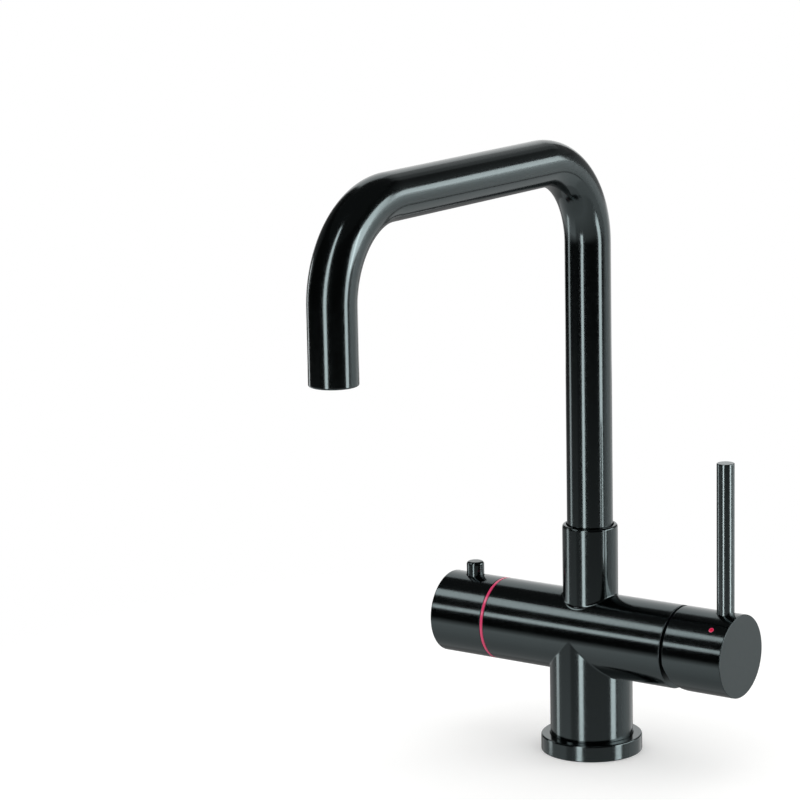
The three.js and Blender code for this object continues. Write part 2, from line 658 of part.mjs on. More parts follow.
// What the cap's lower inner edge loses so that it clears the crossbar when the lever tilts: a plane
// through the tilt, then a round that runs out at the cap's underside.
function tiltRelief() {
  const tilt = THREE.MathUtils.degToRad(LEVER_TILT);
  const start = PIVOT_X + (BODY_RIGHT + RUN - PIVOT_X) / Math.cos(tilt);
  const edgeAt = (drop) => start + drop * Math.tan(tilt);
  const topDrop = Math.max(0, (CAP_START - start) / Math.tan(tilt));
  const centreX = edgeAt(CAP_ROUND_START) + CAP_ROUND * Math.cos(tilt);
  const centreDrop = CAP_ROUND_START - CAP_ROUND * Math.sin(tilt);
  const last = Math.asin(Math.min(1, (BODY_R + PAST - centreDrop) / CAP_ROUND));
  const outline = [
    [CAP_START - PAST, -topDrop],
    [CAP_START, -topDrop],
  ];
  const steps = 8;
  for (let i = 0; i <= steps; i += 1) {
    const angle = tilt + ((last - tilt) * i) / steps;
    outline.push([centreX - CAP_ROUND * Math.cos(angle), -centreDrop - CAP_ROUND * Math.sin(angle)]);
  }
  outline.push([outline.at(-1)[0], -BODY_R - 2 * PAST]);
  outline.push([CAP_START - PAST, -BODY_R - 2 * PAST]);
  const shape = new THREE.Shape(outline.map(([x, z]) => new THREE.Vector2(x, z)));
  const width = 2 * (BODY_R + PAST);
  const slab = new THREE.ExtrudeGeometry(shape, { depth: width, bevelEnabled: false });
  return solid(slab.rotateX(Math.PI / 2).translate(0, width / 2, BAR_Z));
}

// Outline of a round mark or its pocket, on the cap's surface at the given turn from the top.
function markBody(turn, radius, inner, outer) {
  const plug = new THREE.CylinderGeometry(radius, radius, outer - inner, 12);
  plug.rotateX(Math.PI / 2).translate(0, 0, (inner + outer) / 2);
  plug.rotateX(THREE.MathUtils.degToRad(turn));
  return solid(plug.translate(LEVER_X, 0, BAR_Z));
}

function leverCap() {
  const outer = turned("x", [
    [0, CAP_START],
    [BODY_R, CAP_START],
    [BODY_R, CAP_END - CAP_BEVEL],
    [BODY_R - CAP_BEVEL, CAP_END],
    [0, CAP_END],
  ], ON_BAR);
  const stemHalf = STEM_WIDTH / 2 + SEAT;
  const stemSocket = block(
    [CAP_FLOOR - PAST, -stemHalf, BAR_Z - stemHalf],
    [STEM_END + SEAT, stemHalf, BAR_Z + stemHalf],
  );
  const leverAt = [LEVER_X, 0, BAR_Z];
  const pocket = (turn) =>
    markBody(turn, MARK_D / 2 + SEAT, BODY_R - MARK_DEPTH - SEAT, BODY_R + PAST);
  return cut(
    outer,
    rod("x", BODY_R - CAP_WALL, CAP_START - PAST, CAP_FLOOR, ON_BAR),
    tiltRelief(),
    stemSocket,
    rod("z", LEVER_D / 2 + SEAT, BODY_R - LEVER_SINK - SEAT, BODY_R + PAST, leverAt, LEVER_SIDES),
    rod("z", LEVER_THREAD_D / 2 + SEAT, 0, BODY_R, leverAt, LEVER_SIDES),
    rod("z", SET_SCREW_D / 2 + SEAT, -BODY_R - PAST, 0, leverAt),
    pocket(MARK_TURN),
    pocket(-MARK_TURN),
  );
}

function leverRod() {
  const foot = BAR_Z + STEM_WIDTH / 2 + 2 * SEAT;
  const shoulder = BAR_Z + BODY_R - LEVER_SINK;
  const radius = LEVER_D / 2;
  return turned("z", [
    [0, foot],
    [LEVER_THREAD_D / 2, foot],
    [LEVER_THREAD_D / 2, shoulder],
    [radius, shoulder],
    ...quarterRound([radius - LEVER_ROUND, LEVER_TOP - LEVER_ROUND], LEVER_ROUND, 2),
    [0, LEVER_TOP],
  ], [LEVER_X, 0, 0], LEVER_SIDES);
}

// Set screw with its hexagon socket, pressing on the stem from below.
function capSetScrew() {
  const top = BAR_Z - STEM_WIDTH / 2 - 2 * SEAT;
  const bottom = top - SET_SCREW_LENGTH;
  const at = [LEVER_X, 0, 0];
  const socket = rod("z", SET_SCREW_D / 4, bottom - PAST, bottom + SET_SCREW_LENGTH / 3, at, 6);
  return cut(rod("z", SET_SCREW_D / 2, bottom, top, at), socket);
}

function capScrewPlug() {
  const face = BAR_Z - Math.sqrt(BODY_R ** 2 - (SET_SCREW_D / 2) ** 2);
  return rod("z", SET_SCREW_D / 2, face, face + PLUG_LENGTH, [LEVER_X, 0, 0]);
}

function capMark(turn) {
  return markBody(turn, MARK_D / 2, BODY_R - MARK_DEPTH, BODY_R);
}

// ---- Boiling valve ----

// Two ports, one above the other, through a piece between two distances along the crossbar.
function boilPorts(from, to) {
  return [-BOIL_PORT_RISE, BOIL_PORT_RISE].map((z) =>
    rod("x", WATERWAY_R, -to - PAST, -from + PAST, [0, 0, BAR_Z + z]),
  );
}

function hotRing() {
  return ring("x", BODY_R - RING_DEPTH, BODY_R, -RING_START - RING_WIDTH, -RING_START, ON_BAR);
}

function boilValveSeal() {
  const end = VALVE_SEAL_START + SEAL_THICKNESS;
  return cut(rod("x", VALVE_R, -end, -VALVE_SEAL_START, ON_BAR), ...boilPorts(VALVE_SEAL_START, end));
}

function boilFixedDisc() {
  const end = VALVE_START + DISC_THICKNESS;
  return cut(rod("x", VALVE_CHAMBER_R - SEAT, -end, -VALVE_START, ON_BAR), ...boilPorts(VALVE_START, end));
}

// Across the ports when open, beside them when closed.
function boilTurningDisc() {
  const end = BOIL_TURNING_START + DISC_THICKNESS;
  const reach = BOIL_PORT_RISE + WATERWAY_R / 2;
  const window = block(
    [-BOIL_TURNING_START - DISC_THICKNESS / 2, -reach, BAR_Z - WATERWAY_R / 2],
    [-BOIL_TURNING_START + PAST, reach, BAR_Z + WATERWAY_R / 2],
  );
  return cut(rod("x", VALVE_CHAMBER_R - RUN, -end, -BOIL_TURNING_START, ON_BAR), window);
}

function spindleFlangeEnd() {
  return SPINDLE_START + DISC_THICKNESS;
}

function boilValveBody() {
  const chamberEnd = spindleFlangeEnd() + RUN;
  const bore = SPINDLE_R + RUN;
  const neck = VALVE_NECK_D / 2;
  return turned("x", [
    [VALVE_CHAMBER_R, -VALVE_START],
    [VALVE_R, -VALVE_START],
    [VALVE_R, -BODY_LEFT],
    [neck, -BODY_LEFT],
    [neck, -VALVE_NECK_END],
    [bore, -VALVE_NECK_END],
    [bore, -chamberEnd],
    [VALVE_CHAMBER_R, -chamberEnd],
  ], ON_BAR);
}

function boilSpindle() {
  const flangeEnd = spindleFlangeEnd();
  const clipEnd = CLIP_START + CLIP_THICKNESS + SEAT;
  const groove = SPINDLE_R - CLIP_WIDTH / 2;
  return turned("x", [
    [0, -SPINDLE_START],
    [VALVE_CHAMBER_R - RUN, -SPINDLE_START],
    [VALVE_CHAMBER_R - RUN, -flangeEnd],
    [SPINDLE_R, -flangeEnd],
    [SPINDLE_R, SEAT - CLIP_START],
    [groove, SEAT - CLIP_START],
    [groove, -clipEnd],
    [SPINDLE_R, -clipEnd],
    [SPINDLE_R, -SPINDLE_END],
    [0, -SPINDLE_END],
  ], ON_BAR);
}

function spindleClip() {
  const inner = SPINDLE_R - CLIP_WIDTH / 2 + SEAT;
  return ring("x", inner, inner + CLIP_WIDTH, -CLIP_START - CLIP_THICKNESS, -CLIP_START, ON_BAR);
}

// Fixed collar round the headwork's neck. The button's stem runs in its groove, and the groove's ends
// stop the knob when it is closed and when it is fully open.
function stopCollar() {
  const end = VALVE_NECK_END - SEAT;
  const body = turned("x", [
    [COLLAR_BORE_R, -COLLAR_START],
    [KNOB_BORE_R - RUN, -COLLAR_START],
    [KNOB_BORE_R - RUN, -COLLAR_START - COLLAR_FLANGE],
    [COLLAR_R, -COLLAR_START - COLLAR_FLANGE],
    [COLLAR_R, -end],
    [COLLAR_BORE_R, -end],
  ], ON_BAR);
  const half = buttonClipR() + RUN;
  const slack = THREE.MathUtils.radToDeg(Math.asin(half / BUTTON_STEM_END)) + TRACK_SLACK;
  const track = new THREE.Shape();
  const from = Math.PI / 2 - THREE.MathUtils.degToRad(slack);
  const to = Math.PI / 2 + THREE.MathUtils.degToRad(KNOB_TURN + slack);
  track.absarc(0, 0, COLLAR_R + PAST, from, to, false);
  track.absarc(0, 0, STOP_TRACK_R, to, from, true);
  const groove = new THREE.ExtrudeGeometry(track, {
    depth: 2 * half,
    bevelEnabled: false,
    curveSegments: 12,
  });
  groove.translate(0, 0, -half).rotateX(Math.PI / 2).rotateZ(Math.PI / 2);
  return cut(body, solid(groove.translate(-BUTTON_X, 0, BAR_Z)));
}

// ---- Boiling knob and lock button ----

function buttonClipR() {
  return BUTTON_STEM_R + CLIP_WIDTH / 2;
}

function boilKnob() {
  const shell = turned("x", [
    [KNOB_BORE_R, -KNOB_START],
    [BODY_R, -KNOB_START],
    [BODY_R, KNOB_BEVEL - KNOB_OUTER],
    [BODY_R - KNOB_BEVEL, -KNOB_OUTER],
    [0, -KNOB_OUTER],
    [0, -KNOB_FLOOR],
    [KNOB_BORE_R, -KNOB_FLOOR],
  ], ON_BAR);
  const buttonAt = [-BUTTON_X, 0, BAR_Z];
  const boreR = BUTTON_R + RUN;
  const boss = rod("z", boreR + BOSS_WALL, BOSS_WEB_BOTTOM, KNOB_BORE_R + KNOB_WALL / 2, buttonAt);
  const inside = rod("x", KNOB_BORE_R + KNOB_WALL / 2, -KNOB_FLOOR, -KNOB_START, ON_BAR);
  const screwX = -(KNOB_FLOOR + KNOB_END / 3);
  return cut(
    joined(shell, boss.intersect(inside)),
    rod("z", boreR, BOSS_WEB_TOP, BODY_R + PAST, buttonAt, BUTTON_SIDES),
    rod("z", BUTTON_STEM_R + RUN, BOSS_WEB_BOTTOM - PAST, BODY_R, buttonAt, BUTTON_SIDES),
    rod("x", SPINDLE_R + SEAT, -SPINDLE_END - SEAT, PAST - KNOB_FLOOR, ON_BAR),
    rod("z", KNOB_SCREW_D / 2 + SEAT, -BODY_R - PAST, 0, [screwX, 0, BAR_Z]),
  );
}

function knobScrew() {
  const top = BAR_Z - SPINDLE_R - 2 * SEAT;
  const bottom = top - KNOB_SCREW_LENGTH;
  const at = [-(KNOB_FLOOR + KNOB_END / 3), 0, 0];
  const socket = rod("z", KNOB_SCREW_D / 4, bottom - PAST, bottom + KNOB_SCREW_LENGTH / 3, at, 6);
  return cut(rod("z", KNOB_SCREW_D / 2, bottom, top, at), socket);
}

// A hollow cap over a stem. The spring stands inside it, and a clip under the knob's boss keeps it in.
function lockButton() {
  const top = BODY_R + BUTTON_HEIGHT;
  const roof = top - BUTTON_ROOF;
  const grooveTop = BUTTON_CLIP_TOP + SEAT;
  const grooveBottom = BUTTON_CLIP_TOP - CLIP_THICKNESS - SEAT;
  const waist = BUTTON_STEM_R - CLIP_WIDTH / 4;
  return turned("z", [
    [0, BUTTON_STEM_END],
    [BUTTON_STEM_R, BUTTON_STEM_END],
    [BUTTON_STEM_R, grooveBottom],
    [waist, grooveBottom],
    [waist, grooveTop],
    [BUTTON_STEM_R, grooveTop],
    [BUTTON_STEM_R, roof],
    [BUTTON_R - BUTTON_WALL, roof],
    [BUTTON_R - BUTTON_WALL, BUTTON_FOOT],
    [BUTTON_R, BUTTON_FOOT],
    ...quarterRound([BUTTON_R - BUTTON_ROUND, top - BUTTON_ROUND], BUTTON_ROUND),
    [0, top],
  ], [-BUTTON_X, 0, BAR_Z], BUTTON_SIDES);
}

function buttonClip() {
  const inner = BUTTON_STEM_R - CLIP_WIDTH / 4 + SEAT;
  return ring(
    "z",
    inner,
    buttonClipR(),
    BUTTON_CLIP_TOP - CLIP_THICKNESS,
    BUTTON_CLIP_TOP,
    [-BUTTON_X, 0, BAR_Z],
  );
}

// A helix as a curve, so that a wire section can be carried along it.
class Helix extends THREE.Curve {
  constructor(radius, turns, from, to, at) {
    super();
    Object.assign(this, { radius, turns, from, to, at });
  }

  getPoint(t) {
    const angle = 2 * Math.PI * this.turns * t;
    return new THREE.Vector3(
      this.at[0] + this.radius * Math.cos(angle),
      this.at[1] + this.radius * Math.sin(angle),
      this.at[2] + this.from + (this.to - this.from) * t,
    );
  }
}

function circleShape(radius, sides) {
  const points = [];
  for (let i = 0; i < sides; i += 1) {
    const angle = (2 * Math.PI * i) / sides;
    points.push(new THREE.Vector2(radius * Math.cos(angle), radius * Math.sin(angle)));
  }
  return new THREE.Shape(points);
}

function lockSpring() {
  const wire = SPRING_WIRE_D / 2;
  const inner = BUTTON_STEM_R + RUN;
  const outer = BUTTON_R - BUTTON_WALL - RUN;
  const path = new Helix(
    (inner + outer) / 2,
    SPRING_TURNS,
    BOSS_WEB_TOP + wire + RUN,
    BODY_R + BUTTON_HEIGHT - BUTTON_ROOF - wire - RUN,
    [-BUTTON_X, 0, BAR_Z],
  );
  const steps = 8 * SPRING_TURNS;
  return solid(new THREE.ExtrudeGeometry(circleShape(wire, 5), { steps, extrudePath: path }));
}

// ---- Spout ----

// Centreline of a tube that rises, bends forward, runs level, bends down and drops: one step for each
// straight and BEND_STEPS for each bend, so that no faces are spent on the straights.
class SpoutLine extends THREE.Curve {
  constructor(foot, end) {
    super();
    this.foot = foot;
    this.end = end;
    this.steps = 2 * BEND_STEPS + 3;
  }

  // Position and direction at a step, in the plane of the spout as [forward, up].
  station(step) {
    if (step <= 0) return [0, this.foot, Math.PI / 2];
    if (step >= this.steps) return [SPOUT_REACH, this.end, -Math.PI / 2];
    const second = step > BEND_STEPS + 1;
    const angle = ((second ? step - BEND_STEPS - 2 : step - 1) / BEND_STEPS) * (Math.PI / 2);
    const sine = BEND_RADIUS * Math.sin(angle);
    const cosine = BEND_RADIUS * Math.cos(angle);
    if (second) return [SPOUT_REACH - BEND_RADIUS + sine, SPOUT_Z - BEND_RADIUS + cosine, -angle];
    return [BEND_RADIUS - cosine, SPOUT_Z - BEND_RADIUS + sine, Math.PI / 2 - angle];
  }

  getPointAt(t) {
    const [forward, up] = this.station(Math.round(t * this.steps));
    return new THREE.Vector3(0, -forward, up);
  }

  getTangentAt(t) {
    const angle = this.station(Math.round(t * this.steps))[2];
    return new THREE.Vector3(0, -Math.cos(angle), Math.sin(angle));
  }

  getPoint(t) {
    return this.getPointAt(t);
  }
}

function bentTube(outer, inner, foot, end, sides) {
  const path = new SpoutLine(foot, end);
  const section = circleShape(outer, sides);
  section.holes.push(new THREE.Path(circleShape(inner, sides).getPoints().reverse()));
  return solid(new THREE.ExtrudeGeometry(section, { steps: path.steps, extrudePath: path }));
}

function spoutTube() {
  return bentTube(TUBE_R, TUBE_BORE_R, TUBE_FOOT, OUTLET_Z, sidesOf(TUBE_R));
}

function boilingTube() {
  const end = INSERT_TOP + RUN;
  return bentTube(INNER_TUBE_R, INNER_TUBE_R - INNER_TUBE_WALL, INNER_SEAT_Z + RUN, end, 8);
}

// Heights of the bearing ring and the two seals on the bush, from the top down.
function grooveBottom(place) {
  return GROOVE_TOP - BEARING_HEIGHT - place * GROOVE_STEP;
}

function spoutBush() {
  const spigotR = TUBE_BORE_R - SEAT;
  const body = turned("z", [
    [BUSH_BORE_R, BUSH_BOTTOM],
    [BUSH_R, BUSH_BOTTOM],
    [BUSH_R, BUSH_TOP],
    [spigotR, BUSH_TOP],
    [spigotR, BUSH_TOP + BUSH_SPIGOT],
    [BUSH_BORE_R, BUSH_TOP + BUSH_SPIGOT],
  ]);
  const groove = (bottom, height) =>
    ring("z", BUSH_R - ORING_D + SEAT, BUSH_R + PAST, bottom - SEAT, bottom + height + SEAT);
  const slack = THREE.MathUtils.radToDeg(Math.asin((STOP_SCREW_D / 2 + RUN) / (BUSH_R - STOP_GROOVE_DEPTH)));
  const stop = sector(
    BUSH_R - STOP_GROOVE_DEPTH,
    BUSH_R + PAST,
    STOP_SCREW_BEARING - SWIVEL - slack,
    STOP_SCREW_BEARING + SWIVEL + slack,
    STOP_GROOVE_Z - STOP_GROOVE_HEIGHT / 2,
    STOP_GROOVE_Z + STOP_GROOVE_HEIGHT / 2,
  );
  return cut(
    body,
    groove(grooveBottom(0), BEARING_HEIGHT),
    groove(grooveBottom(1), ORING_D),
    groove(grooveBottom(2), ORING_D),
    stop,
  );
}

function bushRing(place, height) {
  const bottom = grooveBottom(place);
  return ring("z", BUSH_R - ORING_D + 2 * SEAT, NECK_BORE_R - RUN, bottom, bottom + height);
}

function innerTubeOring() {
  const bottom = innerGrooveZ();
  return ring("z", INNER_TUBE_R + SEAT, INNER_TUBE_R + ORING_D - SEAT, bottom, bottom + ORING_D);
}

function spoutStopScrew() {
  return rod(
    "y",
    STOP_SCREW_D / 2,
    BUSH_R - STOP_GROOVE_DEPTH + RUN,
    NECK_R - SEAT,
    [0, 0, STOP_GROOVE_Z],
  );
}

const AT_OUTLET = [0, -SPOUT_REACH, 0];

function aeratorHousing() {
  const outer = TUBE_BORE_R - SEAT;
  return ring("z", outer - AERATOR_WALL, outer, AERATOR_Z, AERATOR_TOP, AT_OUTLET);
}

function aeratorSeal() {
  const bottom = AERATOR_TOP + SEAT;
  const outer = TUBE_BORE_R - 2 * SEAT;
  return ring("z", outer - 2 * AERATOR_WALL, outer, bottom, bottom + SEAL_THICKNESS, AT_OUTLET);
}

// Jet plate with a ring of holes for mixed water round the nozzle of the boiling tube.
function aeratorInsert() {
  const radius = TUBE_BORE_R - AERATOR_WALL - 2 * SEAT;
  const holeRing = (radius + INNER_TUBE_R) / 2;
  const holes = [];
  for (let i = 0; i < INSERT_HOLES; i += 1) {
    const angle = (2 * Math.PI * i) / INSERT_HOLES;
    const at = [holeRing * Math.cos(angle), holeRing * Math.sin(angle) - SPOUT_REACH, 0];
    holes.push(rod("z", INSERT_HOLE_D / 2, INSERT_Z - PAST, INSERT_TOP + PAST, at, 8));
  }
  const nozzle = rod("z", INNER_TUBE_R - INNER_TUBE_WALL, INSERT_Z - PAST, INSERT_TOP + PAST, AT_OUTLET);
  return cut(rod("z", radius, INSERT_Z, INSERT_TOP, AT_OUTLET), nozzle, ...holes);
}

// ---- The tap ----

const foot = new THREE.Group();
foot.add(
  piece("base_flange", baseFlange(), DARK_METAL),
  piece("base_gasket", baseGasket(), RUBBER),
  piece("hose_manifold", hoseManifold(), BRASS),
  piece("manifold_gasket", manifoldGasket(), RUBBER),
  piece("manifold_bolt", manifoldBolt(), STEEL),
  piece("hot_hose_socket", hoseSocket(HOT_INLET), BRASS),
  piece("cold_hose_socket", hoseSocket(COLD_INLET), BRASS),
  piece("boiling_hose_socket", hoseSocket(BOILING_INLET), BRASS),
  piece("front_stud_socket", studSocket(-STUD_OFFSET), BRASS),
  piece("rear_stud_socket", studSocket(STUD_OFFSET), BRASS),
);

const cartridge = new THREE.Group();
cartridge.add(
  piece("cartridge_seal", cartridgeSeal(), RUBBER),
  piece("cartridge_base", cartridgeBase(), PLASTIC),
  piece("cartridge_fixed_disc", cartridgeFixedDisc(), CERAMIC),
  piece("cartridge_moving_disc", cartridgeMovingDisc(), CERAMIC),
  piece("disc_carrier", discCarrier(), GREY_PLASTIC),
  piece("cartridge_rotor", cartridgeRotor(), PLASTIC),
  piece("stem_pin", stemPin(), STEEL),
  piece("cartridge_housing", cartridgeHousing(), GREY_PLASTIC),
  piece("cartridge_nut", cartridgeNut(), BRASS),
  piece("dome_cover", domeCover(), DARK_METAL),
);

const mixerLever = new THREE.Group();
mixerLever.add(
  piece("cartridge_stem", cartridgeStem(), BRASS),
  piece("lever_cap", leverCap(), DARK_METAL),
  piece("lever_rod", leverRod(), DARK_METAL),
  piece("cap_set_screw", capSetScrew(), STEEL),
  piece("cap_screw_plug", capScrewPlug(), DARK_METAL),
  piece("hot_mark", capMark(MARK_TURN), RED),
  piece("cold_mark", capMark(-MARK_TURN), BLUE),
);

const boilingValve = new THREE.Group();
boilingValve.add(
  piece("hot_ring", hotRing(), RED),
  piece("boil_valve_seal", boilValveSeal(), RUBBER),
  piece("boil_valve_body", boilValveBody(), BRASS),
  piece("boil_fixed_disc", boilFixedDisc(), CERAMIC),
  piece("boil_turning_disc", boilTurningDisc(), CERAMIC),
  piece("boil_spindle", boilSpindle(), BRASS),
  piece("spindle_clip", spindleClip(), STEEL),
  piece("stop_collar", stopCollar(), PLASTIC),
);

const boilingKnob = new THREE.Group();
boilingKnob.add(
  piece("boil_knob", boilKnob(), DARK_METAL),
  piece("knob_screw", knobScrew(), STEEL),
  piece("lock_button", lockButton(), DARK_METAL),
  piece("button_clip", buttonClip(), STEEL),
  piece("lock_spring", lockSpring(), STEEL),
);

const spout = new THREE.Group();
spout.add(
  piece("spout_tube", spoutTube(), DARK_METAL),
  piece("spout_bush", spoutBush(), BRASS),
  piece("spout_bearing_ring", bushRing(0, BEARING_HEIGHT), PLASTIC),
  piece("spout_oring_upper", bushRing(1, ORING_D), RUBBER),
  piece("spout_oring_lower", bushRing(2, ORING_D), RUBBER),
  piece("boiling_tube", boilingTube(), STEEL),
  piece("aerator_housing", aeratorHousing(), DARK_METAL),
  piece("aerator_seal", aeratorSeal(), RUBBER),
  piece("aerator_insert", aeratorInsert(), GREY_PLASTIC),
);

const tap = new THREE.Group();
tap.name = "boiling_water_tap";
tap.add(piece("body_casting", bodyCasting(), DARK_METAL));
tap.add(piece("column", column(), DARK_METAL));
tap.add(piece("spout_stop_screw", spoutStopScrew(), STEEL));
tap.add(piece("inner_tube_oring", innerTubeOring(), RUBBER));
tap.add(foot, cartridge, mixerLever, boilingValve, boilingKnob, spout);

export default tap;
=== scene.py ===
"""Looks of a boiling water tap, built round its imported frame: fine surfaces, finishes, studio and camera.

All lengths are in metres. +Z is up, the crossbar lies along X, and the spout reaches towards -Y.
"""

import json
from math import acos, asin, cos, hypot, pi, radians, sin, tan

import bmesh
import bpy
import numpy as np
from bpy.props import FloatProperty, FloatVectorProperty, IntProperty, PointerProperty
from mathutils import Matrix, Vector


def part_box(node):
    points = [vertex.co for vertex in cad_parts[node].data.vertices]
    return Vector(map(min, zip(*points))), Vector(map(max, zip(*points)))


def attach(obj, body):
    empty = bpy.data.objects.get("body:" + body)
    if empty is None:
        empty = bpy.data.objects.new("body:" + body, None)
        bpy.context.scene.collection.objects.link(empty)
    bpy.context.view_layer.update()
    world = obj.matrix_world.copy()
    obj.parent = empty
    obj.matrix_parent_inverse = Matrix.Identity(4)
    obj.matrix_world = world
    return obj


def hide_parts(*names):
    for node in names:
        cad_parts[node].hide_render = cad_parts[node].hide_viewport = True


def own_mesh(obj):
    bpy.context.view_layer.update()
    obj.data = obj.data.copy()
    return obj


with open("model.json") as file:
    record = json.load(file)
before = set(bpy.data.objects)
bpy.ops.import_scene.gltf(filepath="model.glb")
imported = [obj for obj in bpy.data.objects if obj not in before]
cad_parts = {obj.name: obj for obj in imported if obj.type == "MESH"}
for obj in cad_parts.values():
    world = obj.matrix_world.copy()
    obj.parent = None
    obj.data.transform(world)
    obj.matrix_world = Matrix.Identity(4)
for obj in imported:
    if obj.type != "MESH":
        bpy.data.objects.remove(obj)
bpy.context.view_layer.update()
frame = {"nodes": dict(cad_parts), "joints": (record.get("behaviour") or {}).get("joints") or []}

bl_info = {
    "name": "Boiling Water Tap",
    "version": (1, 0, 0),
    "blender": (4, 5, 0),
    "location": "View3D > Sidebar > Tap",
    "description": "Builds the surfaces, finishes and studio of a boiling water tap",
    "category": "Add Mesh",
}

MM = 0.001
SUPPORT = 0.25 * MM  # a row this far from a rounding keeps the flat beside it flat
WELD = 0.001 * MM  # corners closer than this are one corner
SHARP = radians(32)
FULL = 2 * pi
QUARTER = pi / 2
GAP = 0.3 * MM  # round a piece that turns in another
FIT = 0.15 * MM  # round a piece that is seated in another
PAST_FILLET = 3 * MM  # from the crossbar to where a plain wall begins


# ---- Sizes that come from the frame ----

def joint(name):
    """The record's joint of that name."""
    return next(j for j in frame["joints"] if j["name"] == name)


def span(node, axis):
    """A CAD node's lowest and highest coordinate along an axis, 0 to 2."""
    return [corner[axis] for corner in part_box(node)]


def low(node, axis):
    """A CAD node's lowest coordinate along an axis."""
    return span(node, axis)[0]


def high(node, axis):
    """A CAD node's highest coordinate along an axis."""
    return span(node, axis)[1]


def round_span(node, axis):
    """The middle and the radius of a round CAD node along an axis across it."""
    first, last = span(node, axis)
    return (last + first) / 2, (last - first) / 2


BAR_Z, BAR_R = round_span("boil_knob", 2)
BAR_TOP = BAR_Z + BAR_R
BODY_LEFT, BODY_RIGHT = span("body_casting", 0)
COLUMN_CEILING, NECK_TOP = span("body_casting", 2)
NECK_FLOOR = low("spout_bush", 2) - GAP
COLUMN_FOOT = low("column", 2)
COLUMN_BORE_R = high("hose_manifold", 0) + GAP
CARTRIDGE_BORE_R = high("cartridge_housing", 1) + GAP
CARTRIDGE_FLOOR = low("cartridge_seal", 0) - FIT
VALVE_BORE_R = high("boil_valve_body", 1) + GAP
VALVE_FLOOR = high("boil_valve_seal", 0) + FIT
TUBE_R = high("spout_tube", 0)
TUBE_BORE_R = high("aerator_housing", 0) + FIT
TUBE_FOOT = low("spout_tube", 2)
ARM_Z = high("spout_tube", 2) - TUBE_R
REACH = -low("spout_tube", 1) - TUBE_R
OUTLET = (0, -REACH)
OUTLET_Z = low("aerator_housing", 2) - 0.8 * MM
CAP_START, CAP_END = span("lever_cap", 0)
CAP_FLOOR = CAP_END - 17.6 * MM
KNOB_END, KNOB_RIM = span("boil_knob", 0)
KNOB_FLOOR = KNOB_END + 8 * MM
LEVER_X, LEVER_R = round_span("lever_rod", 0)
BUTTON_X, BUTTON_R = round_span("lock_button", 0)
BUTTON_END, BUTTON_TOP = span("lock_button", 2)
SPRING_FOOT, SPRING_TOP = span("lock_spring", 2)
SPRING_R = round_span("lock_spring", 0)[1]
SPRING_WIRE_R = 0.35 * MM
SPRING_TURNS = 5
PIVOT_X = joint("lever_tilt")["pos_m"][0]
TILT = radians(joint("lever_tilt")["range_deg"][1])


# ---- Settings a user would change ----

def linear(hexcode):
    """An sRGB colour such as "#4A5153" as linear red, green and blue."""
    parts = [int(hexcode[i : i + 2], 16) / 255 for i in (1, 3, 5)]
    return tuple(p / 12.92 if p <= 0.04045 else ((p + 0.055) / 1.055) ** 2.4 for p in parts)


def length(name, millimetres, description):
    """A length property with its default in millimetres."""
    value = millimetres * MM
    return FloatProperty(name=name, description=description, default=value, min=0, precision=5, unit="LENGTH")


def colour(name, hexcode, description):
    """A colour property with its default as an sRGB hex value."""
    return FloatVectorProperty(
        name=name, description=description, default=linear(hexcode), min=0, max=1, subtype="COLOR"
    )


def angle(name, degrees, description):
    """An angle property with its default in degrees."""
    return FloatProperty(name=name, description=description, default=radians(degrees), subtype="ANGLE")


def factor(name, value, description):
    """A plain number property."""
    return FloatProperty(name=name, description=description, default=value, min=0)


class TapSizes(bpy.types.PropertyGroup):
    """Sizes of the fine surfaces."""

    neck_radius: length("Neck radius", 15, "Outer radius of the neck under the spout")
    neck_bore: length("Neck bore", 13, "Radius of the bore that the spout stands in")
    neck_round: length("Neck rounding", 1.2, "Rounding of the neck's top edge")
    neck_fillet: length("Neck fillet", 1.0, "Fillet where the neck meets the crossbar")
    column_fillet: length("Column fillet", 0.7, "Fillet where the column meets the crossbar")
    body_bevel: length("Body edge", 0.4, "Edge break of the crossbar's ends")
    foot_round: length("Foot rounding", 0.8, "Rounding of the foot ring's top edge")
    bend_radius: length("Bend radius", 47.3, "Centreline radius of the spout's two bends")
    outlet_round: length("Outlet rounding", 0.9, "Rounding of the spout's outlet edge")
    knob_bore: length("Knob bore", 20, "Inner radius of the boiling knob and the lever cap")
    knob_round: length("Knob edge", 0.5, "Rounding of the boiling knob's outer edge")
    button_gap: length("Button gap", 0.3, "Gap round the lock button")
    button_round: length("Button rounding", 1.6, "Rounding of the lock button's top")
    cap_bevel: length("Cap edge", 0.35, "Rounding of the lever cap's outer edge")
    cap_relief: length("Cap relief start", 13, "How far below the axis the cap's relief starts to curve")
    cap_round: length("Cap relief radius", 13, "Radius of the cap's relief at its underside")
    mark_radius: length("Mark radius", 1.4, "Radius of the hot and cold marks")
    round_sides: IntProperty(name="Sides", description="Sides of a round", default=128, min=24, max=512)
    bend_steps: IntProperty(name="Bend steps", description="Rows in each bend", default=40, min=6, max=200)


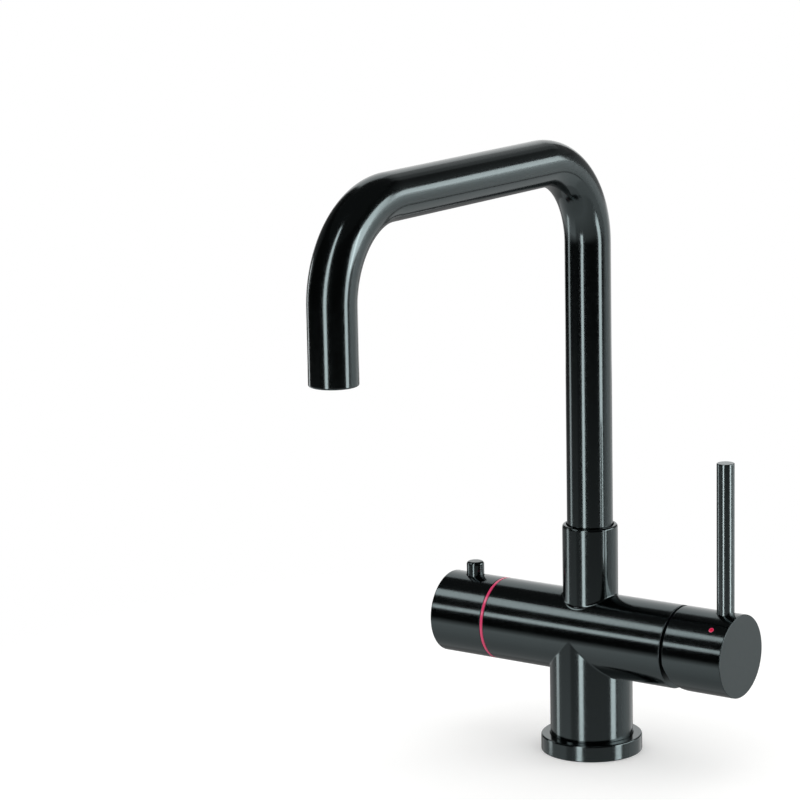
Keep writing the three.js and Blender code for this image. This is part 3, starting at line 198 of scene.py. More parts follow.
class TapFinish(bpy.types.PropertyGroup):
    """Colours and gloss of the finishes."""

    gunmetal: colour("Gunmetal", "#525A5B", "Vapour-deposited gunmetal coating")
    gunmetal_deep: colour("Deep gunmetal", "#4D5556", "Thicker places of the gunmetal coating")
    lever: colour("Lever", "#697273", "Gunmetal coating of the lever")
    lever_deep: colour("Deep lever", "#636C6D", "Thicker places of the lever's coating")
    red: colour("Red", "#CA1A3C", "Middle of the hot mark")
    rose: colour("Rose", "#D0426C", "Red ring, and the hot mark's rim")
    blue: colour("Blue", "#2F6FC4", "Middle of the cold mark")
    sky: colour("Sky", "#6F9FE0", "Rim of the cold mark")
    brass: colour("Brass", "#C29A55", "Machined brass inside")
    steel: colour("Stainless steel", "#B4B6B8", "Screws, clips and springs")
    rubber: colour("Rubber", "#1B1C1D", "Seals")
    roughness: factor("Roughness", 0.14, "Roughness of the gunmetal coating")
    lever_roughness: factor("Lever roughness", 0.18, "Roughness of the lever's coating")
    satin: factor("Satin", 0.36, "Roughness of the faced ends")
    grain: factor("Grain", 0.04, "Strength of the turned grain in the coating")


class TapStage(bpy.types.PropertyGroup):
    """Camera and studio."""

    azimuth: angle("Azimuth", 35.567, "Camera's turn to the right of the front")
    pitch: angle("Pitch", 11.534, "How far the camera looks down")
    roll: angle("Roll", -1.125, "Camera's roll")
    lens: factor("Lens", 152.843, "Focal length in millimetres on a 36 mm frame")
    aim_height: length("Aim height", 160, "Height on the column's axis that the camera is set by")
    depth: length("Depth", 1829.427, "Distance to that point along the view")
    aim_x: factor("Aim across", 589.4245, "Where that point lies across the 800 pixel picture")
    aim_y: factor("Aim down", 462.3394, "Where that point lies down the 800 pixel picture")
    strip_light: factor("Strip light", 5, "Radiance of the tall strip lamps")
    soft_light: factor("Soft light", 2.4, "Radiance of the soft boxes")
    fill_light: factor("Fill light", 1, "Radiance of the white room, as the floor sees it")
    floor: colour("Floor", "#FAFAF9", "Pale floor")
    floor_glow: factor("Floor glow", 0.16, "White that the camera alone sees on the floor")


# ---- Surfaces ----

def unit(vector):
    """The vector at length 1."""
    return vector / np.linalg.norm(vector)


def rounded(corners, steps=6):
    """A profile from corners of (along, radius, rounding): where a rounding is over 0, the corner is an arc
    tangent to both sides, centre = corner + rounding / sin(half the corner's angle) along the bisector."""
    corners = [(c + (0,))[:3] for c in corners]
    points = []
    for i, (along, radius, bend) in enumerate(corners):
        here = np.array([along, radius])
        if bend == 0 or i in (0, len(corners) - 1):
            points.append(here)
            continue
        back = unit(np.array(corners[i - 1][:2]) - here)
        ahead = unit(np.array(corners[i + 1][:2]) - here)
        half = acos(np.clip(back @ ahead, -1, 1)) / 2
        reach = bend / tan(half)
        middle = here + unit(back + ahead) * bend / sin(half)
        first = here + back * reach - middle
        last = here + ahead * reach - middle
        turn = pi - 2 * half
        share = np.linspace(0, 1, steps + 1)[:, None]
        arc = (np.sin((1 - share) * turn) * first + np.sin(share * turn) * last) / sin(turn)
        points += [here + back * (reach + SUPPORT), *(middle + arc), here + ahead * (reach + SUPPORT)]
    return np.array(points)


def along_x(along, radius, theta):
    """Points about the crossbar: x = along, y = radius sin theta, z = BAR_Z + radius cos theta."""
    along, radius, theta = np.broadcast_arrays(along, radius, theta)
    return np.stack([along, radius * np.sin(theta), BAR_Z + radius * np.cos(theta)], -1)


def along_z(along, radius, phi, centre=(0, 0)):
    """Points about an upright axis: x = cx + radius cos phi, y = cy + radius sin phi, z = along."""
    along, radius, phi = np.broadcast_arrays(along, radius, phi)
    return np.stack([centre[0] + radius * np.cos(phi), centre[1] + radius * np.sin(phi), along], -1)


def lathed(profile, sides, axis="z", centre=(0, 0)):
    """A profile of (along, radius) rows turned once round an axis, as a grid of rows by angles."""
    turn = np.linspace(0, FULL, sides + 1)
    if axis == "x":
        return along_x(profile[:, :1], profile[:, 1:], turn)
    return along_z(profile[:, :1], profile[:, 1:], turn, centre)


def closed(profile):
    """The profile with its first point again at the end."""
    return np.vstack([profile, profile[:1]])


def steps_along(points):
    """Distance walked down each column of a grid, which is what the grain follows."""
    walked = np.linalg.norm(np.diff(points, axis=0), axis=-1)
    return np.vstack([np.zeros(points.shape[1]), np.cumsum(walked, axis=0)])


def grid_uv(points):
    """A map of the grid in metres: u is the distance round and v the distance along."""
    v = steps_along(points)
    u = steps_along(points.transpose(1, 0, 2)).T
    return np.stack([u, v], -1)


def quads(rows, columns, start):
    """The grid's faces: corner (i, j) joins (i, j + 1), (i + 1, j + 1) and (i + 1, j)."""
    i, j = np.meshgrid(np.arange(rows - 1), np.arange(columns - 1), indexing="ij")
    first = (start + i * columns + j).ravel()
    return np.stack([first, first + 1, first + columns + 1, first + columns], -1)


def new_object(name, data):
    """An object linked to the scene."""
    made = bpy.data.objects.new(name, data)
    bpy.context.scene.collection.objects.link(made)
    return made


def grid_mesh(name, patches, material):
    """A mesh of one or more grids of corners, and its faces."""
    corners = np.concatenate([p.reshape(-1, 3) for p in patches])
    starts = np.cumsum([0] + [p.shape[0] * p.shape[1] for p in patches])
    faces = np.concatenate([quads(*p.shape[:2], s) for p, s in zip(patches, starts)])
    mesh = bpy.data.meshes.new(name)
    mesh.from_pydata(corners.tolist(), [], faces.tolist())
    mesh.materials.append(material)
    return mesh, faces


def make_piece(name, patches, body, nodes, finish="gunmetal_pvd"):
    """One closed mesh from grids whose edges meet, in place of CAD nodes: welds them, turns the faces out
    and marks sharp edges."""
    mesh, faces = grid_mesh(name, patches, finish_named(finish))
    surface = np.concatenate([grid_uv(p).reshape(-1, 2) for p in patches])
    layer = mesh.uv_layers.new(name="surface")
    layer.data.foreach_set("uv", surface[faces.ravel()].ravel())
    work = bmesh.new()
    work.from_mesh(mesh)
    bmesh.ops.remove_doubles(work, verts=work.verts, dist=WELD)
    bmesh.ops.dissolve_degenerate(work, edges=work.edges, dist=WELD)
    bmesh.ops.recalc_face_normals(work, faces=work.faces)
    open_edges = sum(not edge.is_manifold for edge in work.edges)
    work.to_mesh(mesh)
    work.free()
    if open_edges:
        raise RuntimeError(f"{name} has {open_edges} open edges")
    mesh.shade_smooth()
    mesh.set_sharp_from_angle(angle=SHARP)
    piece = new_object(name, mesh)
    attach(piece, body)
    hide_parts(*nodes.split())
    return piece


def drilled_angles(radius, hole, sides):
    """Angles round a crossbar-like round whose top is drilled from above, and the hole's half width there.
    Over the hole, y = hole sin t for even t, so that the angles meet the hole's own corners."""
    around = sides // 3
    across = np.arcsin(hole * np.sin(np.linspace(-QUARTER, QUARTER, around + 1)) / radius)
    edge = asin(hole / radius)
    theta = np.concatenate([across, np.linspace(edge, FULL - edge, sides + 1)[1:]])
    half = np.sqrt(np.clip(hole**2 - (radius * np.sin(theta)) ** 2, 0, None))
    half[around:] = 0
    half[0] = 0
    return theta, half


def hole_edge(x, sign, half):
    """The first two rows beside a hole drilled from above at x, to its right for a sign of 1."""
    return [(x + sign * half, BAR_R), (x + sign * (half + SUPPORT), BAR_R)]


def rows_along_x(rows, theta):
    """Rows of (along, radius) about the crossbar, each value one number or one for each angle."""
    spread = [[np.broadcast_to(value, theta.shape) for value in row] for row in rows]
    along, radius = np.array(spread).transpose(1, 0, 2)
    return along_x(along, radius, theta)


def hole_turn(around):
    """Angles round a hole drilled from above, in twice as many steps as over one side of it."""
    return np.linspace(-QUARTER, 3 * QUARTER, 2 * around + 1)


def bar_height(across, phi, radius=BAR_R):
    """Height of a round about the crossbar's axis over an upright circle: BAR_Z + sqrt(R^2 - y^2) for
    y = across sin phi."""
    return BAR_Z + np.sqrt(radius**2 - (across * np.sin(phi)) ** 2)


# ---- Materials ----

USUAL = (0.3, 0.7)  # most values of a noise texture lie between these


def feed(tree, node, inputs):
    """Links or sets a node's inputs, from a list in their order or a dict by name or number."""
    for key, value in inputs.items() if isinstance(inputs, dict) else enumerate(inputs):
        socket = node.inputs[key]
        if isinstance(value, bpy.types.NodeSocket):
            tree.links.new(value, socket)
        else:
            socket.default_value = (*value, 1) if socket.type == "RGBA" else value


def add(tree, kind, inputs=(), out=0, **settings):
    """Adds a node, sets its settings, links or sets its inputs, and gives one of its outputs."""
    node = tree.nodes.new("ShaderNode" + kind)
    for key, value in settings.items():
        setattr(node, key, value)
    feed(tree, node, inputs)
    return node.outputs[out]


def new_material(name):
    """An empty node material, with its Principled shader and the place of a point in its object."""
    material = bpy.data.materials.new(name)
    material.use_nodes = True
    tree = material.node_tree
    return material, tree, tree.nodes["Principled BSDF"], add(tree, "TexCoord", out="Object")


def gunmetal_pvd(name, base, deep, roughness, mapped=True):
    """Brass polished on a lathe, then coated by vapour deposition in dark gunmetal. The eye sees an almost
    mirror-like dark metal with a cool green tint, a very faint turned grain in its highlights, and satin on
    the ends that were faced off square to X. The grain is drawn 0.3 mm wide."""
    finish = bpy.context.scene.tap_finish
    material, tree, shader, place = new_material(name)
    cloud = add(tree, "TexNoise", {"Vector": place, "Scale": 28, "Detail": 3})
    haze = add(tree, "TexNoise", {"Vector": place, "Scale": 420, "Detail": 2})
    blur = add(tree, "Math", [cloud, haze], operation="ADD")
    gloss = add(tree, "MapRange", [blur, 0.7, 1.3, roughness - 0.02, roughness + 0.03])
    ends = add(tree, "SeparateXYZ", [add(tree, "TexCoord", out="Normal")], "X")
    squareness = add(tree, "Math", [ends], operation="ABSOLUTE")
    satin = add(tree, "MapRange", [squareness, 0.97, 0.995, 0, finish.satin - roughness])
    turned = add(tree, "UVMap", uv_map="surface") if mapped else place
    stretched = add(tree, "Mapping", {"Vector": turned, "Scale": (60, 3300, 60)})
    grain = add(tree, "TexNoise", {"Vector": stretched, "Scale": 1, "Detail": 2})
    feed(tree, shader, {
        "Base Color": add(tree, "Mix", {0: cloud, 6: deep, 7: base}, 2, data_type="RGBA"),
        "Metallic": 1,
        "Roughness": add(tree, "Math", [gloss, satin], operation="ADD"),
        "Normal": add(tree, "Bump", {"Strength": finish.grain, "Distance": 0.004 * MM, "Height": grain}),
    })
    return material


def enamel(name, base, rim, spread):
    """Glossy epoxy enamel in a groove or dimple. The eye sees a saturated colour under a clear gloss, paler
    where the enamel thins: spread is how far from the middle of a dot that starts, or 0 for a ring."""
    material, tree, shader, place = new_material(name)
    cloud = add(tree, "TexNoise", {"Vector": place, "Scale": 300, "Detail": 2})
    if spread:
        away = add(tree, "SeparateXYZ", [add(tree, "UVMap", uv_map="surface")], "Y")
        thin = add(tree, "MapRange", [away, spread, 1.6 * spread, 0, 1])
    else:
        thin = add(tree, "MapRange", [cloud, *USUAL, 0.8, 1])
    feed(tree, shader, {
        "Base Color": add(tree, "Mix", {0: thin, 6: base, 7: rim}, 2, data_type="RGBA"),
        "Roughness": add(tree, "MapRange", [cloud, *USUAL, 0.1, 0.16]),
        "IOR": 1.55,
    })
    return material


def textured(name, colours, clouds, skin, roughness, relief, body):
    """A material whose colour drifts between two in clouds, with a skin of (scale, detail) that sets its
    roughness and a relief of (strength, depth). body is what else its shader needs."""
    material, tree, shader, place = new_material(name)
    cloud = add(tree, "TexNoise", {"Vector": place, "Scale": clouds, "Detail": 3})
    fine = add(tree, "TexNoise", {"Vector": place, "Scale": skin[0], "Detail": skin[1]})
    feed(tree, shader, {
        "Base Color": add(tree, "Mix", {0: cloud, 6: colours[0], 7: colours[1]}, 2, data_type="RGBA"),
        "Roughness": add(tree, "MapRange", [fine, *USUAL, *roughness]),
        "Normal": add(tree, "Bump", {"Strength": relief[0], "Distance": relief[1], "Height": fine}),
        **body,
    })
    return material


def machined(name, base, dull, roughness, lines):
    """Turned metal. The eye sees fine tool lines and a slightly uneven sheen."""
    gloss = (roughness, roughness + 0.12)
    return textured(name, (base, dull), 60, (lines, 2), gloss, (0.3, 0.01 * MM), {"Metallic": 1})


def moulded(name, base, dull, roughness, ior, grit):
    """Moulded plastic, rubber or fired ceramic. The eye sees an even body colour with a faint mottle, and
    a skin as rough as its mould or lapping left it."""
    gloss = (roughness - 0.04, roughness + 0.06)
    return textured(name, (base, dull), 90, (grit, 3), gloss, (0.25, 0.02 * MM), {"IOR": ior})


def finish_named(name):
    """The material of that name, made when it is first asked for."""
    finish = bpy.context.scene.tap_finish
    polished = (gunmetal_pvd, finish.gunmetal, finish.gunmetal_deep, finish.roughness)
    dot = 0.8 * MM
    makers = {
        "gunmetal_pvd": polished,
        "gunmetal_pvd_plain": (*polished, False),
        "gunmetal_pvd_brushed": (gunmetal_pvd, finish.lever, finish.lever_deep, finish.lever_roughness),
        "red_enamel_ring": (enamel, finish.red, finish.rose, 0),
        "red_enamel_dot": (enamel, finish.red, finish.rose, dot),
        "blue_enamel_dot": (enamel, finish.blue, finish.sky, dot),
        "turned_brass": (machined, finish.brass, linear("#A98444"), 0.28, 900),
        "stainless_steel": (machined, finish.steel, linear("#9C9FA2"), 0.26, 1400),
        "nitrile_rubber": (moulded, finish.rubber, linear("#242526"), 0.62, 1.52, 2200),
        "lapped_alumina": (moulded, linear("#EFE9DC"), linear("#E2DACA"), 0.2, 1.76, 3000),
        "acetal_white": (moulded, linear("#DCDCD5"), linear("#CFCFC8"), 0.4, 1.48, 1800),
        "nylon_grey": (moulded, linear("#6F7376"), linear("#63676A"), 0.48, 1.53, 1600),
    }
    maker, *values = makers[name]
    return bpy.data.materials.get(name) or maker(name, *values)


# ---- Pieces ----

def eased(value):
    """From 0 to 1 over the first 0.35 without a corner: 3 t^2 - 2 t^3 for t = value / 0.35, at most 1."""
    t = np.clip(value / 0.35, 0, 1)
    return t**2 * (3 - 2 * t)


def casting_patches(sizes):
    """Column, crossbar and neck as one skin with their sockets. Crossbar and column have the same radius R,
    so they meet where |x| = |z - BAR_Z|, in two flat ellipses. The neck's cylinder meets the crossbar
    where z = BAR_Z + sqrt(R^2 - y^2)."""
    around = sizes.round_sides // 2
    flank = around // 5
    rim = sizes.neck_radius + sizes.neck_fillet
    over = np.arcsin(rim * np.sin(np.linspace(-QUARTER, QUARTER, around + 1)) / BAR_R)
    beside = np.linspace(asin(rim / BAR_R), QUARTER, flank + 1)[1:]
    under = np.linspace(QUARTER, 3 * QUARTER, around + 1)[1:]
    theta = np.concatenate([-beside[::-1], over, beside, under])
    half = np.sqrt(np.clip(rim**2 - (BAR_R * np.sin(theta)) ** 2, 0, None))
    half[: flank + 1] = 0
    half[flank + around : 2 * flank + around + 1] = 0
    below = np.abs(np.cos(under))
    half[-around:] = BAR_R * below + sizes.column_fillet * eased(below)
    half[-1] = 0
    patches = []
    past_fillets = 26 * MM
    for sign, face, bore, floor in (
        (1, BODY_RIGHT, CARTRIDGE_BORE_R, CARTRIDGE_FLOOR),
        (-1, BODY_LEFT, VALVE_BORE_R, VALVE_FLOOR),
    ):
        outline = rounded([
            (sign * past_fillets, BAR_R), (face, BAR_R, sizes.body_bevel),
            (face, bore, sizes.body_bevel / 2), (floor, bore), (floor, 0),
        ])
        patches.append(rows_along_x([*hole_edge(0, sign, half), *outline], theta))
    phi = hole_turn(around)
    return [*patches, neck_patch(sizes, phi, rim), column_patch(sizes, phi)]


def fillet_and_wall(first, corner, last, nudge, outline, phi):
    """A fillet's rows, a row just past it, and an outline of (height, radius) about Z. The fillet goes from
    one surface to the other by way of the line where they meet: (1-t)^2 first + 2t(1-t) corner + t^2 last."""
    t = np.linspace(0, 1, 7)[:, None, None]
    fillet = (1 - t) ** 2 * first + 2 * t * (1 - t) * corner + t**2 * last
    wall = along_z(outline[:, :1], outline[:, 1:], phi)
    return np.vstack([fillet, (last + (0, 0, nudge))[None], wall])


def neck_patch(sizes, phi, rim):
    """The neck from its fillet on the crossbar up, over its top edge, and down its bore to the floor."""
    radius = sizes.neck_radius
    outline = rounded([
        (BAR_TOP + PAST_FILLET, radius), (NECK_TOP, radius, sizes.neck_round),
        (NECK_TOP, sizes.neck_bore, SUPPORT), (NECK_FLOOR, sizes.neck_bore), (NECK_FLOOR, 0),
    ])
    first = along_z(bar_height(rim, phi), rim, phi)
    corner = along_z(bar_height(radius, phi), radius, phi)
    return fillet_and_wall(first, corner, corner + (0, 0, sizes.neck_fillet), SUPPORT, outline, phi)


def column_patch(sizes, phi):
    """The column from its crease under the crossbar down to the foot, and up its bore to the ceiling."""
    cosine = np.cos(phi)
    reach = sizes.column_fillet * eased(np.abs(cosine))
    corner = along_z(BAR_Z - BAR_R * np.abs(cosine), BAR_R, phi)
    first = corner + np.stack([np.sign(cosine) * reach, 0 * reach, 0 * reach], -1)
    last = corner - np.stack([0 * reach, 0 * reach, reach], -1)
    outline = rounded([
        (BAR_Z - BAR_R - PAST_FILLET, BAR_R), (COLUMN_FOOT, BAR_R, SUPPORT), (COLUMN_FOOT, COLUMN_BORE_R),
        (COLUMN_CEILING, COLUMN_BORE_R), (COLUMN_CEILING, 0),
    ])
    return fillet_and_wall(first, corner, last, -SUPPORT, outline, phi)


def spout_patches(sizes):
    """The spout tube: outside from foot to outlet, round the outlet's edge, and back up the bore. Its line
    goes up from the foot, a quarter circle forward, level, a quarter circle down, and down to the end.
    forward and up are worked out from the distance into each part, the normal is the line's direction
    turned by a quarter, and the point at angle phi is centre + radius (cos phi normal + sin phi X)."""
    bend = sizes.bend_radius
    rise, arc, level = ARM_Z - bend - TUBE_FOOT, bend * QUARTER, REACH - 2 * bend
    rows = np.linspace(0, arc, sizes.bend_steps + 1)
    stations = np.concatenate([rise + rows, rise + arc + level + rows])
    end = rise + 2 * arc + level + ARM_Z - bend - OUTLET_Z
    outlet = rounded([
        (stations[-1], TUBE_R), (end, TUBE_R, sizes.outlet_round), (end, TUBE_BORE_R),
        (stations[-1], TUBE_BORE_R),
    ])
    profile = np.array([
        (0, TUBE_BORE_R), (0, TUBE_R), *((station, TUBE_R) for station in stations[:-1]), *outlet,
        *((station, TUBE_BORE_R) for station in stations[-2::-1]), (0, TUBE_BORE_R),
    ])
    distance = profile[:, 0]
    first = np.clip((distance - rise) / arc, 0, 1) * QUARTER
    second = np.clip((distance - rise - arc - level) / arc, 0, 1) * QUARTER
    level_part = np.clip(distance - rise - arc, 0, level)
    down_part = np.clip(distance - rise - 2 * arc - level, 0, None)
    forward = bend * (1 - np.cos(first)) + level_part + bend * np.sin(second)
    up = TUBE_FOOT + np.clip(distance, 0, rise) + bend * np.sin(first)
    up = up - bend * (1 - np.cos(second)) - down_part
    heading = QUARTER - first - second
    centre = np.stack([0 * forward, -forward, up], -1)
    normal = np.stack([0 * forward, np.sin(heading), np.cos(heading)], -1)
    phi = np.linspace(0, FULL, sizes.round_sides + 1)[None, :, None]
    ring = np.cos(phi) * normal[:, None] + np.sin(phi) * np.array([1, 0, 0])
    return [centre[:, None] + profile[:, 1:, None] * ring]


def jet_plate():
    """Outlet's jet plate: a disc whose lower face is a height field over polar coordinates,
    z = bottom + depth where cos(24 phi) and the middle of the ring make a slot."""
    bottom, top = span("aerator_insert", 2)
    radius = round_span("aerator_insert", 0)[1]
    nozzle = 3 * MM
    depth = 1.6 * MM
    slots = 24
    sides = 20 * slots
    share = np.linspace(0, 1, 61)[:, None]
    phi = np.linspace(0, FULL, sides + 1)
    slot = np.clip((np.cos(slots * phi) - 0.1) * 6, 0, 1)
    band = np.clip(np.minimum(share - 0.3, 0.82 - share) * 30, 0, 1)
    face = along_z(bottom + depth * slot * band, nozzle + (radius - nozzle) * share, phi, OUTLET)
    over = np.array([[bottom, radius], [top, radius], [top, nozzle], [bottom, nozzle]])
    return [face, lathed(over, sides, centre=OUTLET)]


def knob_patches(sizes):
    """Boiling knob: a cup along X, drilled from above for the button. Outside and inside meet at the
    rim and in the drilled hole's wall."""
    hole = BUTTON_R + sizes.button_gap
    bore = sizes.knob_bore
    theta, half = drilled_angles(BAR_R, hole, sizes.round_sides)
    inner_theta, inner_half = drilled_angles(bore, hole, sizes.round_sides)
    past_hole = 9 * MM
    end = rounded([(BUTTON_X - past_hole, BAR_R), (KNOB_END, BAR_R, sizes.knob_round), (KNOB_END, 0)])
    rim = rounded([
        (BUTTON_X + past_hole, BAR_R), (KNOB_RIM, BAR_R, SUPPORT), (KNOB_RIM, BAR_R - 2 * SUPPORT),
    ], steps=3)
    left = rows_along_x([*hole_edge(BUTTON_X, -1, half), *end], theta)
    right = rows_along_x([*hole_edge(BUTTON_X, 1, half), *rim], theta)
    inner_right = rows_along_x([(KNOB_RIM, bore), (BUTTON_X + inner_half, bore)], inner_theta)
    rim_face = np.stack([right[-1], inner_right[0]])
    inner_left = rows_along_x([
        (BUTTON_X - inner_half, bore), (KNOB_FLOOR, bore), (KNOB_FLOOR, 0),
    ], inner_theta)
    phi = hole_turn(sizes.round_sides // 3)
    wall = [along_z(bar_height(hole, phi, radius), hole, phi, (BUTTON_X, 0)) for radius in (BAR_R, bore)]
    return [left, right, rim_face, inner_right, inner_left, np.stack(wall)]


def spring_patch():
    """Round wire on a helix. Its centre is at x = cx + R cos a and y = R sin a, and z rises evenly with a.
    Its skin is centre + w (cos f outward + sin f upward), upward being square to the wire, and both ends
    close to w = 0."""
    steps = 24 * SPRING_TURNS
    turned = np.linspace(0, FULL * SPRING_TURNS, steps + 1)
    coil = SPRING_R - SPRING_WIRE_R
    rise = SPRING_TOP - SPRING_FOOT - 2 * SPRING_WIRE_R
    height = SPRING_FOOT + SPRING_WIRE_R + rise * turned / turned[-1]
    centre = along_z(height, coil, turned, (BUTTON_X, 0))
    outward = along_z(0, 1, turned)
    slope = rise / turned[-1] / coil
    upward = along_z(1, slope, turned - QUARTER) / hypot(1, slope)
    rows = np.r_[0, 0 : steps + 1, steps]
    wire = np.full(len(rows), SPRING_WIRE_R)
    wire[[0, -1]] = 0
    f = np.linspace(0, FULL, 13)[None, :, None]
    skin = np.cos(f) * outward[rows, None] + np.sin(f) * upward[rows, None]
    return centre[rows, None] + wire[:, None, None] * skin


def relief_at(drop, sizes):
    """Where the cap's inner edge starts, by how far a point is below the axis: the cap's own start, then a
    line leaned by the tilt, then an arc tangent to it."""
    start = PIVOT_X + (BODY_RIGHT + GAP - PIVOT_X) / cos(TILT)
    line = start + drop * tan(TILT)
    bend = sizes.cap_round
    centre_along = start + sizes.cap_relief * tan(TILT) + bend * cos(TILT)
    centre_drop = sizes.cap_relief - bend * sin(TILT)
    arc = centre_along - np.sqrt(np.clip(bend**2 - (drop - centre_drop) ** 2, 0, None))
    return np.maximum(CAP_START, np.where(drop > sizes.cap_relief, arc, line))


def cap_patches(sizes):
    """Lever cap: a cup along X whose lower inner edge is relieved for the tilt, with the lever's socket."""
    hole = LEVER_R + FIT
    bore = sizes.knob_bore
    theta, half = drilled_angles(BAR_R, hole, sizes.round_sides)
    past_hole = 6.5 * MM
    end = rounded([(LEVER_X + past_hole, BAR_R), (CAP_END, BAR_R, sizes.cap_bevel), (CAP_END, 0)])
    edge = 0.3 * MM
    turn = np.linspace(0, QUARTER, 5)[:, None]
    lip_radius = BAR_R - edge * (1 - np.cos(turn))
    lip = relief_at(-lip_radius * np.cos(theta), sizes) + edge * (1 - np.sin(turn))
    right = rows_along_x([*hole_edge(LEVER_X, 1, half), *end], theta)
    left = rows_along_x([
        *hole_edge(LEVER_X, -1, half), (relief_at(-BAR_R * np.cos(theta), sizes) + edge + SUPPORT, BAR_R),
        *zip(lip, lip_radius), (relief_at(-bore * np.cos(theta), sizes), bore), (CAP_FLOOR, bore),
        (CAP_FLOOR, 0),
    ], theta)
    phi = hole_turn(sizes.round_sides // 3)
    floor = BAR_TOP - 3.65 * MM
    rows = ((bar_height(hole, phi), hole), (floor, hole), (floor, 0))
    socket = np.stack([along_z(height, radius, phi, (LEVER_X, 0)) for height, radius in rows])
    return [left, right, socket]


def mark_patches(sizes, turn):
    """A low enamel dot on the cap: a disc bent to the cap's round, whose rim stands 0.02 mm and whose middle
    0.09 mm over it."""
    rim_height, dome, root = 0.02 * MM, 0.07 * MM, 0.3 * MM
    share = np.array([0, 0.3, 0.55, 0.75, 0.9, 1])[:, None]
    phi = np.linspace(0, FULL, 49)
    across = LEVER_X + sizes.mark_radius * share * np.cos(phi)
    theta = turn + sizes.mark_radius * share * np.sin(phi) / BAR_R
    upper = along_x(across, BAR_R + (dome * (1 - share**4) + rim_height), theta)
    lower = along_x(across, BAR_R - root, theta)
    return [upper, lower, np.stack([upper[-1], lower[-1]])]


def dome_patches(sizes):
    """Dome over the cartridge: a sphere about the tilt axis, radius = sqrt(R^2 - (x - pivot)^2), with a
    skirt in the crossbar, a hole for the stem, and the same again one wall's thickness further in."""
    skirt = high("dome_cover", 1)
    start, top = span("dome_cover", 0)
    wall = 1.5 * MM
    hole = 9.2 * MM
    sphere = hypot(skirt, BODY_RIGHT - PIVOT_X)
    out = np.linspace(BODY_RIGHT, top, 17)
    back = np.linspace(top - wall, BODY_RIGHT, 17)
    profile = np.array([
        (start, skirt - wall), (start, skirt), *zip(out, np.sqrt(sphere**2 - (out - PIVOT_X) ** 2)),
        (top, hole), (top - wall, hole), *zip(back, np.sqrt((sphere - wall) ** 2 - (back - PIVOT_X) ** 2)),
    ])
    return [lathed(closed(profile), sizes.round_sides, "x")]


class TAP_OT_casting(bpy.types.Operator):
    """Build the column, crossbar and neck as one skin"""

    bl_idname = "tap.casting"
    bl_label = "Casting"

    def execute(self, context):
        make_piece("casting", casting_patches(context.scene.tap_sizes), "root", "body_casting column")
        return {"FINISHED"}


class TAP_OT_foot(bpy.types.Operator):
    """Build the foot ring and its rubber ring"""

    bl_idname = "tap.foot"
    bl_label = "Foot"

    def execute(self, context):
        sizes = context.scene.tap_sizes
        rim = high("base_flange", 0)
        top = high("base_flange", 2)
        inner = BAR_R + GAP
        ledge = 3 * MM
        hole = COLUMN_BORE_R + 1 * MM
        gasket = high("base_gasket", 0)
        width = 2.4 * MM
        groove = gasket - width
        thick = 1.8 * MM
        soft_edge = 0.4 * MM
        outline = rounded([
            (0, hole), (0, groove - FIT), (thick + FIT, groove - FIT), (thick + FIT, gasket + FIT),
            (0, gasket + FIT), (0, rim, 0.3 * MM), (top, rim, sizes.foot_round), (top, inner, SUPPORT),
            (ledge, inner), (ledge, hole),
        ])
        make_piece("foot_ring", [lathed(closed(outline), sizes.round_sides)], "root", "base_flange")
        ring = rounded([
            (0, groove + width / 2), (0, groove, soft_edge), (thick, groove), (thick, gasket),
            (0, gasket, soft_edge),
        ])
        patches = [lathed(closed(ring), sizes.round_sides)]
        make_piece("foot_seal", patches, "root", "base_gasket", "nitrile_rubber")
        return {"FINISHED"}


class TAP_OT_spout(bpy.types.Operator):
    """Build the bent spout and its outlet"""

    bl_idname = "tap.spout"
    bl_label = "Spout"

    def execute(self, context):
        sizes = context.scene.tap_sizes
        make_piece("spout", spout_patches(sizes), "spout", "spout_tube")
        outer = high("aerator_housing", 0)
        inner = outer - 1.5 * MM
        bottom, top = span("aerator_housing", 2)
        edge = 0.3 * MM
        outline = rounded([(top, outer), (bottom, outer, edge), (bottom, inner, edge), (top, inner)], steps=3)
        patches = [lathed(closed(outline), sizes.round_sides, centre=OUTLET)]
        make_piece("outlet_ring", patches, "spout", "aerator_housing")
        make_piece("jet_plate", jet_plate(), "spout", "aerator_insert", "nylon_grey")
        return {"FINISHED"}


class TAP_OT_boiling_knob(bpy.types.Operator):
    """Build the red ring, the boiling knob, the lock button and its spring"""

    bl_idname = "tap.boiling_knob"
    bl_label = "Boiling knob"

    def execute(self, context):
        sizes = context.scene.tap_sizes
        far, near = span("hot_ring", 0)
        inner = BAR_R - 3 * MM
        edge = 0.12 * MM
        ring = rounded([(near, inner), (near, BAR_R, edge), (far, BAR_R, edge), (far, inner)], steps=3)
        patches = [lathed(closed(ring), sizes.round_sides, "x")]
        make_piece("red_ring", patches, "root", "hot_ring", "red_enamel_ring")
        make_piece("knob", knob_patches(sizes), "knob", "boil_knob")
        stem = 1.5 * MM
        wall = BUTTON_R - 1.3 * MM
        foot = BAR_TOP - 1.5 * MM
        roof = BUTTON_TOP - 3.5 * MM
        outline = rounded([
            (BUTTON_END, 0), (BUTTON_END, stem), (roof, stem), (roof, wall), (foot, wall),
            (foot, BUTTON_R, 0.1 * MM), (BUTTON_TOP, BUTTON_R, sizes.button_round), (BUTTON_TOP, 0),
        ])
        patches = [lathed(outline, sizes.round_sides // 2, centre=(BUTTON_X, 0))]
        make_piece("button", patches, "button", "lock_button")
        patches = [spring_patch()]
        spring = make_piece("button_spring", patches, "knob", "lock_spring", "stainless_steel")
        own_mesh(spring)
        return {"FINISHED"}


